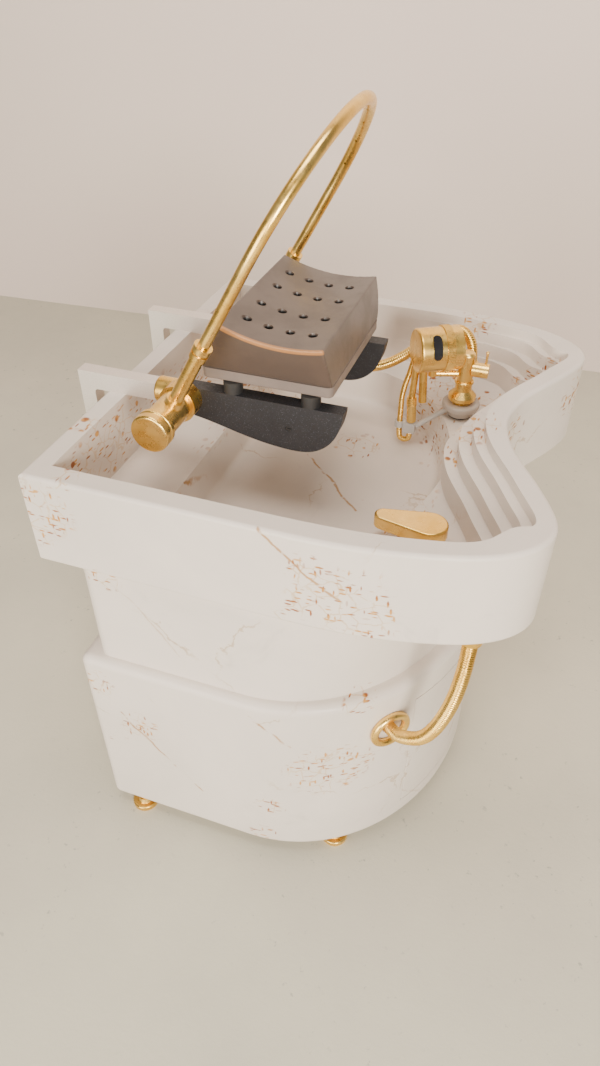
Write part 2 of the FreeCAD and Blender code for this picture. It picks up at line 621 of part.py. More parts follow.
def pivot_block(side):
    """Sleeve at the end of the hook, with the boss and the stud that carry the arch."""
    centre = side * CRADLE_Y
    sleeve_z = RIM_Z + HOOK_HEIGHT / 2
    start = PIVOT_X + 6 - SLEEVE_LENGTH
    sleeve = cylinder(SLEEVE_RADIUS, (start, centre, sleeve_z), (PIVOT_X + 6, centre, sleeve_z))
    sleeve = sleeve.makeFillet(3.0, [e for e in sleeve.Edges if abs(e.BoundBox.XMax - start) < 1e-3])
    face = BOSS_FACE * side
    boss = cylinder(KNOB_RADIUS, (PIVOT_X, side * (CRADLE_Y + BRACKET_THICK / 2), PIVOT_Z),
                    (PIVOT_X, face, PIVOT_Z))
    neck = cylinder(13.0, (PIVOT_X - 8, centre, PIVOT_Z), (PIVOT_X - 8, face, PIVOT_Z))
    stud = cylinder(STUD_RADIUS, (PIVOT_X, face - side, PIVOT_Z), (PIVOT_X, side * STUD_END, PIVOT_Z))
    whole = fuse([sleeve, boss, neck, stud])
    return whole


def feed_port():
    """The water inlet under the far pivot block."""
    y = (BOSS_FACE + CRADLE_Y + BRACKET_THICK / 2) / 2
    return Vector(PIVOT_X, y, PIVOT_Z - KNOB_RADIUS - 9)


def with_feed_port(pivot):
    """The far block with the socket that takes the end of the feed hose."""
    port = feed_port()
    socket = cylinder(FEED_RADIUS + 1.8, port, port + Z * 20)
    bore = cylinder(FEED_RADIUS + RUN_FIT, port - Z, port + Z * FEED_GRIP)
    return pivot.fuse(socket).removeSplitter().cut(bore)


def arch_point(along, y):
    """A point on the plane of the arch, a distance from the pivot axis."""
    lean = math.radians(ARCH_TILT)
    return Vector(PIVOT_X + along * math.sin(lean), y, PIVOT_Z + along * math.cos(lean))


def pivot_hub(side):
    """The hub that turns on the stud and holds the leg of the arch."""
    start = side * (BOSS_FACE + SIDE_FIT)
    end = start + side * HUB_LENGTH
    hub = cylinder(HUB_RADIUS, (PIVOT_X, start, PIVOT_Z), (PIVOT_X, end, PIVOT_Z))
    rims = [e for e in hub.Edges if e.Length > 100 and abs(abs(e.CenterOfMass.y) - abs(end)) < 1e-3]
    hub = hub.makeFillet(2.5, rims)
    socket = cylinder(ARCH_LEG_RADIUS + 3, arch_point(10, side * ARCH_HALF_WIDTH),
                      arch_point(HUB_RADIUS + 7, side * ARCH_HALF_WIDTH))
    leg_hole = cylinder(ARCH_LEG_RADIUS, arch_point(HUB_RADIUS - 3, side * ARCH_HALF_WIDTH),
                        arch_point(HUB_RADIUS + 20, side * ARCH_HALF_WIDTH))
    bore = cylinder(STUD_RADIUS + RUN_FIT, (PIVOT_X, start - side, PIVOT_Z), (PIVOT_X, end + side, PIVOT_Z))
    return fuse([hub, socket]).cut(leg_hole).cut(bore)


def pivot_knob(side):
    """The round knob on the end of the stud, with a turned groove."""
    start = side * (BOSS_FACE + 2 * SIDE_FIT + HUB_LENGTH)
    end = start + side * KNOB_LENGTH
    knob = cylinder(KNOB_RADIUS, (PIVOT_X, start, PIVOT_Z), (PIVOT_X, end, PIVOT_Z))
    rims = [e for e in knob.Edges if e.Length > 100 and abs(abs(e.CenterOfMass.y) - abs(end)) < 1e-3]
    knob = knob.makeFillet(3.0, rims)
    groove = Part.makeTorus(KNOB_RADIUS + 0.8, 2.2, Vector(PIVOT_X, start + side * 7.0, PIVOT_Z), Y)
    bore = cylinder(STUD_RADIUS + RUN_FIT, (PIVOT_X, start - side, PIVOT_Z),
                    (PIVOT_X, side * (STUD_END + SIDE_FIT), PIVOT_Z))
    return knob.cut(groove).cut(bore)


def arch_tube():
    """The hollow arch: two straight legs and a half circle, with nozzle holes on its inner side."""
    low = ARCH_COLLAR_AT
    half = ARCH_HALF_WIDTH
    near_foot = arch_point(low, -half)
    near_top = arch_point(ARCH_LEG, -half)
    crown = arch_point(ARCH_LEG + half, 0)
    far_top = arch_point(ARCH_LEG, half)
    far_foot = arch_point(low, half)
    path = Part.Wire([Part.LineSegment(near_foot, near_top).toShape(),
                      Part.Arc(near_top, crown, far_top).toShape(),
                      Part.LineSegment(far_top, far_foot).toShape()])
    along = near_top - near_foot
    skin = path.makePipeShell([Part.Wire([Part.makeCircle(ARCH_TUBE_RADIUS, near_foot, along)])], True, True)
    bore = path.makePipeShell([Part.Wire([Part.makeCircle(ARCH_BORE_RADIUS, near_foot, along)])], True, True)
    tube = skin.cut(bore)
    middle = arch_point(ARCH_LEG, 0)
    for k in range(NOZZLES):
        turn = math.pi * (k + 1) / (NOZZLES + 1)
        rim = arch_point(ARCH_LEG + half * math.sin(turn), half * math.cos(turn))
        inward = (middle - rim).normalize()
        tube = tube.cut(cylinder(NOZZLE_RADIUS, rim, rim + inward * (ARCH_TUBE_RADIUS + 2)))
    return tube


def arch_legs():
    """The thicker lower legs, from the hubs up to the collars."""
    legs = []
    for side in (-1, 1):
        start = arch_point(HUB_RADIUS - 3, side * ARCH_HALF_WIDTH)
        end = arch_point(ARCH_COLLAR_AT, side * ARCH_HALF_WIDTH)
        legs.append(cylinder(ARCH_LEG_RADIUS, start, end).cut(cylinder(ARCH_BORE_RADIUS, start, end)))
    return Part.makeCompound(legs)


def arch_collars():
    """A double ring over each joint of leg and arch."""
    collars = []
    for side in (-1, 1):
        y = side * ARCH_HALF_WIDTH
        rings = []
        lower = (-9, -1.5, COLLAR_RADIUS - 0.5)
        waist = (-2, 2, COLLAR_RADIUS - 2)
        upper = (1.5, 9, COLLAR_RADIUS)
        for low, high, radius in (lower, waist, upper):
            rings.append(cylinder(radius, arch_point(ARCH_COLLAR_AT + low, y),
                                  arch_point(ARCH_COLLAR_AT + high, y)))
        collar = fuse(rings)
        collar = collar.cut(cylinder(ARCH_LEG_RADIUS, arch_point(ARCH_COLLAR_AT - 12, y),
                                     arch_point(ARCH_COLLAR_AT, y)))
        collar = collar.cut(cylinder(ARCH_TUBE_RADIUS, arch_point(ARCH_COLLAR_AT - 1, y),
                                     arch_point(ARCH_COLLAR_AT + 12, y)))
        collars.append(collar)
    return Part.makeCompound(collars)


def cradle_bracket(side):
    """A black side plate with a straight top and a bellied lower edge."""
    y = side * CRADLE_Y - BRACKET_THICK / 2
    back = PIVOT_X + 6
    top = RIM_Z + BRACKET_TOP
    belly = [(back, RIM_Z - 10), (back + 72, RIM_Z - 26), (back + 132, RIM_Z - 34.5), (back + 162, RIM_Z - 31),
             (back + 184, RIM_Z - 15), (back + 196, RIM_Z + 10), (back + 199, top)]
    curve = Part.BSplineCurve()
    curve.interpolate([Vector(x, y, z) for x, z in belly])
    front = Vector(back + 199, y, top)
    outline = Part.Wire([curve.toShape(), Part.LineSegment(front, Vector(back, y, top)).toShape(),
                         Part.LineSegment(Vector(back, y, top), Vector(back, y, RIM_Z - 10)).toShape()])
    plate = Part.Face(outline).extrude(Vector(0, BRACKET_THICK, 0))
    outer = side * (CRADLE_Y + BRACKET_THICK / 2)
    pocket = cylinder(SCREW_HEAD + SIDE_FIT, (SCREW_X, outer - side * 3, SCREW_Z),
                      (SCREW_X, outer + side, SCREW_Z))
    return plate.cut(pocket)


def bracket_screws():
    """A flat screw head in the outer face of each side plate."""
    heads = []
    for side in (-1, 1):
        outer = side * (CRADLE_Y + BRACKET_THICK / 2)
        head = cylinder(SCREW_HEAD, (SCREW_X, outer - side * 3, SCREW_Z),
                        (SCREW_X, outer - side * 0.5, SCREW_Z))
        slot = block((SCREW_X - SCREW_HEAD, min(outer - side * 0.3, outer - side * 1.5), SCREW_Z - 0.7),
                     (SCREW_X + SCREW_HEAD, max(outer - side * 0.3, outer - side * 1.5), SCREW_Z + 0.7))
        heads.append(head.cut(slot))
    return Part.makeCompound(heads)


def cradle_posts():
    """Four short posts between the side plates and the tray."""
    posts = []
    for x in POSTS_X:
        for side in (-1, 1):
            y = side * (CRADLE_Y - 1)
            posts.append(cylinder(POST_RADIUS, (x, y, RIM_Z + BRACKET_TOP), (x, y, PAD_BOTTOM_Z)))
    return Part.makeCompound(posts)


def pad_profile(low, inset):
    """Side outline of the pad above a level: sloped ends and a hollow top."""
    back_top = Vector(PAD_TOP_BACK[0] + inset, 0, PAD_TOP_BACK[1])
    front_top = Vector(PAD_TOP_FRONT[0] - inset, 0, PAD_TOP_FRONT[1])
    low_point = Vector(PAD_TOP_LOW[0], 0, PAD_TOP_LOW[1])
    back_low = Vector(PAD_BACK_X + inset, 0, low)
    front_low = Vector(PAD_FRONT_X - inset, 0, low)
    top = Part.Arc(back_top, low_point, front_top).toShape()
    return Part.Wire([top, Part.LineSegment(front_top, front_low).toShape(),
                      Part.LineSegment(front_low, back_low).toShape(),
                      Part.LineSegment(back_low, back_top).toShape()])


def neck_pad():
    """The soft pad: wider at its top than at its seam, with a grid of blind holes."""
    body = Part.Face(pad_profile(PAD_SEAM_Z, 0)).extrude(Y * 2 * PAD_HALF_WIDTH)
    body.translate(Y * -PAD_HALF_WIDTH)
    for side in (-1, 1):
        wedge = Part.makePolygon([Vector(-200, side * PAD_HALF_WIDTH, PAD_TOP_BACK[1] + 1),
                                  Vector(-200, side * TRAY_HALF_WIDTH, PAD_SEAM_Z - 1),
                                  Vector(-200, side * (PAD_HALF_WIDTH + 30), PAD_SEAM_Z - 1),
                                  Vector(-200, side * PAD_HALF_WIDTH, PAD_TOP_BACK[1] + 1)])
        body = body.cut(Part.Face(wedge).extrude(X * 300))
    body = body.makeFillet(4.0, upper_pad_edges(body))
    for x in PAD_HOLES_X:
        for y in PAD_HOLES_Y:
            body = body.cut(cylinder(PAD_HOLE_RADIUS, (x, y, PAD_TOP_LOW[1] - PAD_HOLE_DEPTH),
                                     (x, y, PAD_TOP_BACK[1] + 5)))
    return body


def upper_pad_edges(body):
    """The edges around the pad's top face."""
    return [e for e in body.Edges if e.BoundBox.ZMin > PAD_TOP_LOW[1] - 2]


def pad_tray():
    """The rigid tray under the pad."""
    tray = block((PAD_BACK_X, -TRAY_HALF_WIDTH, PAD_BOTTOM_Z), (PAD_FRONT_X, TRAY_HALF_WIDTH, PAD_SEAM_Z))
    upright = [e for e in tray.Edges if e.BoundBox.ZLength > 10]
    tray = tray.makeFillet(8.0, upright)
    return tray.makeFillet(2.5, edges_at(tray, PAD_BOTTOM_Z))


# ---------------------------------------------------------------- faucet on the far ledge
def body_axis():
    """Right-hand end of the mixing body's axis and its direction towards the other end."""
    turn = math.radians(BODY_ANGLE)
    start = Vector(FAUCET_X - BODY_SETBACK, FAUCET_Y + 2, BODY_Z)
    return start, Vector(-math.cos(turn), -math.sin(turn), 0)


def faucet_step():
    """The round step under the flange, with its shank through the ledge."""
    x, y = FAUCET_X, FAUCET_Y
    step = cylinder(STEP_RADIUS, (x, y, LEDGE_Z + GASKET_HEIGHT), (x, y, LEDGE_Z + FLANGE_LOW))
    shank = cylinder(TAP_SHANK, (x, y, SKIRT_Z - 20), (x, y, LEDGE_Z + GASKET_HEIGHT + 1))
    nut = cylinder(TAP_NUT, (x, y, SKIRT_Z - 10), (x, y, SKIRT_Z))
    return fuse([step, shank, nut])


def foot_gasket():
    """The rubber ring between the faucet's step and the ledge."""
    x, y = FAUCET_X, FAUCET_Y
    ring = cylinder(STEP_RADIUS - 1.2, (x, y, LEDGE_Z), (x, y, LEDGE_Z + GASKET_HEIGHT))
    return ring.cut(cylinder(TAP_SHANK + RUN_FIT, (x, y, LEDGE_Z - 1), (x, y, LEDGE_Z + GASKET_HEIGHT + 1)))


def faucet_flange():
    """The wide grey disc above the step, with full round edges."""
    disc = flange_disc()
    return disc.makeFillet(3.0, edges_at(disc, LEDGE_Z + FLANGE_HIGH) + edges_at(disc, LEDGE_Z + FLANGE_LOW))


def flange_disc():
    """The flange before its edges are rounded."""
    x, y = FAUCET_X, FAUCET_Y
    return cylinder(FLANGE_RADIUS, (x, y, LEDGE_Z + FLANGE_LOW), (x, y, LEDGE_Z + FLANGE_HIGH))


def faucet_collar():
    """The flared gold collar."""
    x, y = FAUCET_X, FAUCET_Y
    low = LEDGE_Z + FLANGE_HIGH
    bell = cone(15.0, 19.5, (x, y, low), (x, y, low + 6))
    belt = cylinder(19.5, (x, y, low + 6), (x, y, low + 11))
    top = cone(19.5, COLUMN_RADIUS + 1, (x, y, low + 11), (x, y, low + 19))
    return fuse([bell, belt, top])


def faucet_column():
    """The turned column with its ring, its round top and the port for the arch's feed."""
    x, y = FAUCET_X, FAUCET_Y
    low = LEDGE_Z + FLANGE_HIGH + 19
    lower = cylinder(COLUMN_RADIUS + 1, (x, y, low), (x, y, low + 12))
    ring = cylinder(COLUMN_RADIUS + 2.7, (x, y, low + 10), (x, y, low + 15))
    ring = ring.makeFillet(2.0, edges_at(ring, low + 10) + edges_at(ring, low + 15))
    upper = cylinder(COLUMN_RADIUS, (x, y, low + 14), (x, y, COLUMN_TOP_Z))
    upper = upper.makeFillet(COLUMN_RADIUS / 2, edges_at(upper, COLUMN_TOP_Z))
    bore = cylinder(FEED_RADIUS + RUN_FIT, (PORT_X, PORT_Y, PORT_TOP_Z - FEED_GRIP),
                    (PORT_X, PORT_Y, PORT_TOP_Z + 1))
    return fuse([lower, ring, upper, column_port()]).cut(bore)


def column_port():
    """The stub behind the column and the upright port at its end."""
    stub = cylinder(6.3, (FAUCET_X, FAUCET_Y, FEED_Z), (PORT_X, PORT_Y, FEED_Z))
    port = cylinder(FEED_RADIUS + 1.8, (PORT_X, PORT_Y, FEED_Z - 9), (PORT_X, PORT_Y, PORT_TOP_Z))
    return stub.fuse(port)


def mixing_body():
    """The thick turned body with a groove for its ring and a pocket for its window."""
    start, along = body_axis()
    body = cylinder(BODY_RADIUS, start, start + along * (BODY_LENGTH - CAP_LENGTH))
    groove = cylinder(BODY_RADIUS + 5, start + along * RING_START, start + along * (RING_START + RING_WIDTH))
    groove = groove.cut(cylinder(RING_SEAT, start, start + along * BODY_LENGTH))
    return body.cut(groove).cut(window_plug(SIDE_FIT, 4.0))


def body_cap():
    """The plain end cap with a round edge."""
    start, along = body_axis()
    face = start + along * BODY_LENGTH
    cap = cylinder(BODY_RADIUS, start + along * (BODY_LENGTH - CAP_LENGTH), face)
    rims = [e for e in cap.Edges if e.Length > 100 and (e.CenterOfMass - face).Length < 1]
    return cap.makeFillet(3.0, rims)


def temperature_ring():
    """The fluted ring that turns on the body."""
    start, along = body_axis()
    low = start + along * (RING_START + SIDE_FIT)
    high = start + along * (RING_START + RING_WIDTH - SIDE_FIT)
    ring = cylinder(BODY_RADIUS + RING_PROUD, low, high)
    across = Vector(-along.y, along.x, 0)
    flutes = []
    for k in range(FLUTES):
        turn = 2 * math.pi * k / FLUTES
        spoke = (across * math.cos(turn) + Z * math.sin(turn)) * (BODY_RADIUS + RING_PROUD)
        flutes.append(cylinder(FLUTE_RADIUS, low - along + spoke, high + along + spoke))
    ring = ring.cut(Part.makeCompound(flutes))
    return ring.cut(cylinder(RING_SEAT + RUN_FIT, low - along, high + along))


def window_plug(grow, depth):
    """The upright slot with round ends that the window fills, towards the near side and up."""
    start, along = body_axis()
    lean = math.radians(WINDOW_LEAN)
    outward = Vector(-along.y, along.x, 0) * math.cos(lean) + Z * math.sin(lean)
    across = along.cross(outward)
    centre = start + along * WINDOW_AT
    seat = centre + outward * (BODY_RADIUS - depth - 6)
    wide = along * (WINDOW_WIDE + grow)
    straight = across * (WINDOW_TALL - WINDOW_WIDE)
    tip = across * (WINDOW_TALL + grow)
    slot = Part.Wire([
        Part.LineSegment(seat - wide - straight, seat - wide + straight).toShape(),
        Part.Arc(seat - wide + straight, seat + tip, seat + wide + straight).toShape(),
        Part.LineSegment(seat + wide + straight, seat + wide - straight).toShape(),
        Part.Arc(seat + wide - straight, seat - tip, seat - wide - straight).toShape()])
    plug = Part.Face(slot).extrude(outward * 20)
    ring = cylinder(BODY_RADIUS + 1, start, start + along * BODY_LENGTH)
    return plug.common(ring.cut(cylinder(BODY_RADIUS - depth, start, start + along * BODY_LENGTH)))


def column_solid():
    """The outside of the column's upper length, with a hair of clearance."""
    return cylinder(COLUMN_RADIUS + RUN_FIT, (FAUCET_X, FAUCET_Y, LEDGE_Z), (FAUCET_X, FAUCET_Y, COLUMN_TOP_Z))


def body_support():
    """The rod from the column to a pad under the mixing body."""
    start, along = body_axis()
    under = start + along * SUPPORT_AT - Z * BODY_RADIUS
    level = under.z - RING_PROUD - SIDE_FIT - 4.5
    rod = cylinder(4.5, (FAUCET_X, FAUCET_Y, level), (under.x, under.y, level))
    pad = cylinder(6.5, (under.x, under.y, level - 3), (under.x, under.y, level + 12))
    return fuse([rod, pad]).cut(body_solid()).cut(column_solid())


def body_link():
    """The short bar between the column and the end of the mixing body."""
    start, along = body_axis()
    level = BODY_Z - 13
    bar = cylinder(6.0, (FAUCET_X, FAUCET_Y, level), (start.x, start.y, level))
    return bar.cut(column_solid()).cut(body_solid())


def diverter_body():
    """The valve on the column's right-hand side, with its spindle."""
    x = FAUCET_X + COLUMN_RADIUS - 2
    centre = (FAUCET_Y, DIVERTER_Z)
    body = cylinder(10.0, (x, *centre), (DIVERTER_X, *centre))
    spindle = cylinder(3.0, (DIVERTER_X - 1, *centre), (DIVERTER_X + 8, *centre))
    return body.fuse(spindle).cut(column_solid()).cut(column_port()).removeSplitter()


def diverter_cap():
    """The cap that turns on the spindle and carries the pin lever."""
    centre = (FAUCET_Y, DIVERTER_Z)
    low = DIVERTER_X + SIDE_FIT
    cap = cylinder(10.0, (low, *centre), (DIVERTER_X + 10, *centre))
    pin = cylinder(1.7, (DIVERTER_X + 5, FAUCET_Y, DIVERTER_Z + 6), (DIVERTER_X + 5, FAUCET_Y, DIVERTER_Z + 27))
    tip = Part.makeSphere(2.3, Vector(DIVERTER_X + 5, FAUCET_Y, DIVERTER_Z + 27))
    bore = cylinder(3.0 + RUN_FIT, (low - 1, *centre), (DIVERTER_X + 8 + SIDE_FIT, *centre))
    return fuse([cap, pin, tip]).cut(bore)


def clip_arm():
    """The strap from under the flange to the clip."""
    start = Vector(FAUCET_X - STEP_RADIUS, FAUCET_Y - 7, LEDGE_Z + FLANGE_LOW - ARM_RADIUS)
    end = Vector(CLIP_X + CLIP_HALF, CLIP_Y, CLIP_Z + 2)
    arm = cylinder(ARM_RADIUS, start, end).fuse(Part.makeSphere(ARM_RADIUS, start)).removeSplitter()
    step = cylinder(STEP_RADIUS + RUN_FIT, (FAUCET_X, FAUCET_Y, LEDGE_Z),
                    (FAUCET_X, FAUCET_Y, LEDGE_Z + FLANGE_LOW))
    return arm.cut(clip_block()).cut(step).cut(flange_disc())


def clip_block():
    """The solid outline of the clip, before its channel is cut."""
    half = CLIP_HALF
    return block((LOOP_X + LEAD_RADIUS + 1.5, CLIP_Y - half, CLIP_Z - half),
                 (CLIP_X + half, CLIP_Y + half, CLIP_Z + half))


def sensor_clip():
    """The grey clip: a block around the lead's inner strand and a smaller eye around the outer one."""
    clip = clip_block()
    clip = clip.makeFillet(2.0, [e for e in clip.Edges if e.BoundBox.ZLength > CLIP_HALF])
    eye = cylinder(LEAD_RADIUS + 3, (LOOP_X, CLIP_Y, CLIP_Z - 2), (LOOP_X, CLIP_Y, CLIP_Z + CLIP_HALF - 1))
    clip = clip.fuse(eye).removeSplitter()
    for x in (SOCKET_FOOT[0], LOOP_X):
        clip = clip.cut(cylinder(LEAD_RADIUS + SIDE_FIT, (x, CLIP_Y, CLIP_Z - 12), (x, CLIP_Y, CLIP_Z + 12)))
    return clip


def sensor_socket():
    """The left-hand tube from the mixing body with the wider socket at its end."""
    head = Vector(*SOCKET_HEAD)
    waist = Vector(*SOCKET_WAIST)
    foot = Vector(*SOCKET_FOOT)
    pieces = [cylinder(5.0, head, waist), Part.makeSphere(5.0, waist), cylinder(SOCKET_RADIUS, waist, foot)]
    for k in range(3):
        spot = waist + (foot - waist) * (0.12 + 0.1 * k)
        way = (foot - waist).normalize()
        pieces.append(cylinder(SOCKET_RADIUS + 0.7, spot - way, spot + way))
    return fuse(pieces).cut(body_solid())


def body_solid():
    """The outside of the mixing body with its cap."""
    start, along = body_axis()
    return cylinder(BODY_RADIUS, start, start + along * BODY_LENGTH)


def vent_tube():
    """The right-hand tube that hangs from the mixing body."""
    return cylinder(VENT_RADIUS, VENT_HEAD, VENT_FOOT).cut(body_solid())


# ---------------------------------------------------------------- mixer lever on the near ledge
def mixer_base():
    """The low round base of the mixer, with its shank through the ledge."""
    x, y = MIXER_X, MIXER_Y
    base = cylinder(21.0, (x, y, LEDGE_Z), (x, y, LEDGE_Z + 7))
    base = base.makeFillet(1.5, edges_at(base, LEDGE_Z + 7))
    shank = cylinder(TAP_SHANK, (x, y, LEDGE_Z - MIXER_DEPTH), (x, y, LEDGE_Z + 1))
    bore = cylinder(BALL_STEM + RUN_FIT, (x, y, LEDGE_Z - 10), (x, y, LEDGE_Z + 8))
    return fuse([base, shank]).cut(bore)


def mixer_ball():
    """The ball that turns on the base and tips with the lever."""
    x, y = MIXER_X, MIXER_Y
    low = LEDGE_Z + 7 + SIDE_FIT
    ball = Part.makeSphere(BALL_RADIUS, Vector(x, y, LEDGE_Z + 8))
    ball = ball.cut(block((x - 30, y - 30, low - 40), (x + 30, y + 30, low)))
    stem = cylinder(BALL_STEM, (x, y, LEDGE_Z - 9), (x, y, low + 1))
    return fuse([ball, stem])


def mixer_lever():
    """The flat teardrop handle over the ball."""
    x, y = MIXER_X, MIXER_Y
    low = LEDGE_Z + 19
    big = 21.5
    small = 10.5
    reach = 54.0
    lean = math.asin((big - small) / reach)
    cosine = math.cos(lean)
    sine = math.sin(lean)
    end_x = x - reach - small * sine
    corners = [Vector(x - big * sine, y - big * cosine, low), Vector(end_x, y - small * cosine, low),
               Vector(end_x, y + small * cosine, low), Vector(x - big * sine, y + big * cosine, low)]
    outline = Part.Wire([
        Part.LineSegment(corners[0], corners[1]).toShape(),
        Part.Arc(corners[1], Vector(x - reach - small, y, low), corners[2]).toShape(),
        Part.LineSegment(corners[2], corners[3]).toShape(),
        Part.Arc(corners[3], Vector(x + big, y, low), corners[0]).toShape()])
    lever = prism(outline, LEVER_THICK)
    lever = lever.makeFillet(3.0, edges_at(lever, low + LEVER_THICK))
    lever = lever.makeFillet(1.5, edges_at(lever, low))
    return lever.cut(Part.makeSphere(BALL_RADIUS + SIDE_FIT, Vector(x, y, LEDGE_Z + 8)))


# ---------------------------------------------------------------- hoses held by their fittings
def feed_route():
    """The arch's feed: up from its port, over behind the mixing body and down to the far pivot block."""
    port = feed_port()
    return [(PORT_X, PORT_Y, PORT_TOP_Z - FEED_GRIP), (PORT_X, PORT_Y, PORT_TOP_Z + 18),
            (148, 169, 661), (130, 186, 661), (107, 181, 652), (86, 166, 640), (66, 154, 625),
            (47, 152, 611), (28, 154, 600), (0, 158, 590),
            (-31, 162, 584), (-66, 160, 578), (-108, 148, 576), (-140, 128, 582),
            (port.x, port.y, port.z - 18), tuple(port + Z * FEED_GRIP)]


def lead_route():
    """The thin looped lead, from the mixing body down and back up into the socket."""
    foot = Vector(*SOCKET_FOOT)
    return [(83.5, 129, 640), (80, 127.5, 616), (74, 125, 594), (71.5, 121, 574), (LOOP_X, CLIP_Y, 557),
            (LOOP_X, CLIP_Y, 513.4), (77.8, CLIP_Y, 508.4), (84.6, CLIP_Y, 508.4), (foot.x, foot.y, 513.4),
            tuple(foot - Z * 1.4)]


def lead():
    """The looped lead, trimmed where it meets the mixing body and its cap."""
    return hose(lead_route(), LEAD_RADIUS).cut(body_solid())


def main():
    save("basin_shell", basin_shell())
    save("pedestal_shell", pedestal_shell())
    save("base_cabinet", base_cabinet())
    save("access_door", access_door())
    for name, low in (("upper", DOOR_HIGH_Z - 50), ("lower", DOOR_LOW_Z + 20)):
        middle = low + KNUCKLE_HEIGHT
        save("hinge_" + name + "_frame_leaf", hinge_leaf(1, low, middle))
        save("hinge_" + name + "_door_leaf", hinge_leaf(-1, middle + SIDE_FIT, middle + KNUCKLE_HEIGHT))
    for number, (x, y) in enumerate(foot_places(), 1):
        save(f"levelling_foot_{number}", levelling_foot(x, y))
    save("drain_flange", drain_flange())
    save("drain_strainer", drain_strainer())
    save("waste_pipe", waste_pipe())
    save("water_pump", water_pump())
    save("water_inlet", water_inlet())
    save("outlet_ring", outlet_ring())
    save("supply_hose", hose(supply_route(), HOSE_RADIUS))
    save("hose_fitting", hose_fitting())
    for name, side in (("near", -1), ("far", 1)):
        save("hook_" + name, hook_bar(side))
        save("pivot_hub_" + name, pivot_hub(side))
        save("pivot_knob_" + name, pivot_knob(side))
        save("cradle_bracket_" + name, cradle_bracket(side))
    save("pivot_block_near", pivot_block(-1))
    save("pivot_block_far", with_feed_port(pivot_block(1)))
    save("hook_bumpers", hook_bumpers())
    save("arch_tube", arch_tube())
    save("arch_legs", arch_legs())
    save("arch_collars", arch_collars())
    save("bracket_screws", bracket_screws())
    save("cradle_posts", cradle_posts())
    save("pad_tray", pad_tray())
    save("neck_pad", neck_pad())
    save("faucet_step", faucet_step())
    save("foot_gasket", foot_gasket())
    save("faucet_flange", faucet_flange())
    save("faucet_collar", faucet_collar())
    save("faucet_column", faucet_column())
    save("mixing_body", mixing_body())
    save("body_cap", body_cap())
    save("temperature_ring", temperature_ring())
    save("display_window", window_plug(0, 3.0))
    save("body_support", body_support())
    save("body_link", body_link())
    save("diverter_body", diverter_body())
    save("diverter_cap", diverter_cap())
    save("clip_arm", clip_arm())
    save("sensor_clip", sensor_clip())
    save("sensor_socket", sensor_socket())
    save("vent_tube", vent_tube())
    save("sensor_lead", lead())
    save("feed_hose", hose(feed_route(), FEED_RADIUS))
    save("mixer_base", mixer_base())
    save("mixer_ball", mixer_ball())
    save("mixer_lever", mixer_lever())


main()
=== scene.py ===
"""Looks of a marble-finish head spa basin: materials, ribbed hoses, the neck pad, light and camera."""

import json
import math

import bmesh
import bpy
from mathutils import Matrix, Vector


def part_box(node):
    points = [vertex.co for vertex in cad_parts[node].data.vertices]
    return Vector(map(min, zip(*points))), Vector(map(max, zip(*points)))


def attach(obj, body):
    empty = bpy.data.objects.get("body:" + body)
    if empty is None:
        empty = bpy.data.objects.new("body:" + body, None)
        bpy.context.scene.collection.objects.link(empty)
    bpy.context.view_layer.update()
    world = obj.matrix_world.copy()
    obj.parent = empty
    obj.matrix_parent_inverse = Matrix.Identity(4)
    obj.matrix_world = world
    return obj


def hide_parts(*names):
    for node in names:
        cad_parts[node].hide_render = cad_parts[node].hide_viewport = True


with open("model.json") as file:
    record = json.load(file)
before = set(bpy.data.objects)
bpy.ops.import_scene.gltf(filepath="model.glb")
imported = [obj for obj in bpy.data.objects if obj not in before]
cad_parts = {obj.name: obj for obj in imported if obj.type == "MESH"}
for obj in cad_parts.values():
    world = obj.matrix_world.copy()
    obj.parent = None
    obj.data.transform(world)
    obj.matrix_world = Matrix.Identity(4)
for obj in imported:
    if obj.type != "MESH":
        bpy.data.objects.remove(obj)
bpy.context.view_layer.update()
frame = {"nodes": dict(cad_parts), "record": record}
nodes = frame["nodes"]

MM = 0.001
STAND = "basin_stand"


# ---------------------------------------------------------------- small helpers
def new_material(name):
    """A new node material and its Principled shader."""
    material = bpy.data.materials.new(name)
    material.use_nodes = True
    shader = material.node_tree.nodes["Principled BSDF"]
    return material, shader


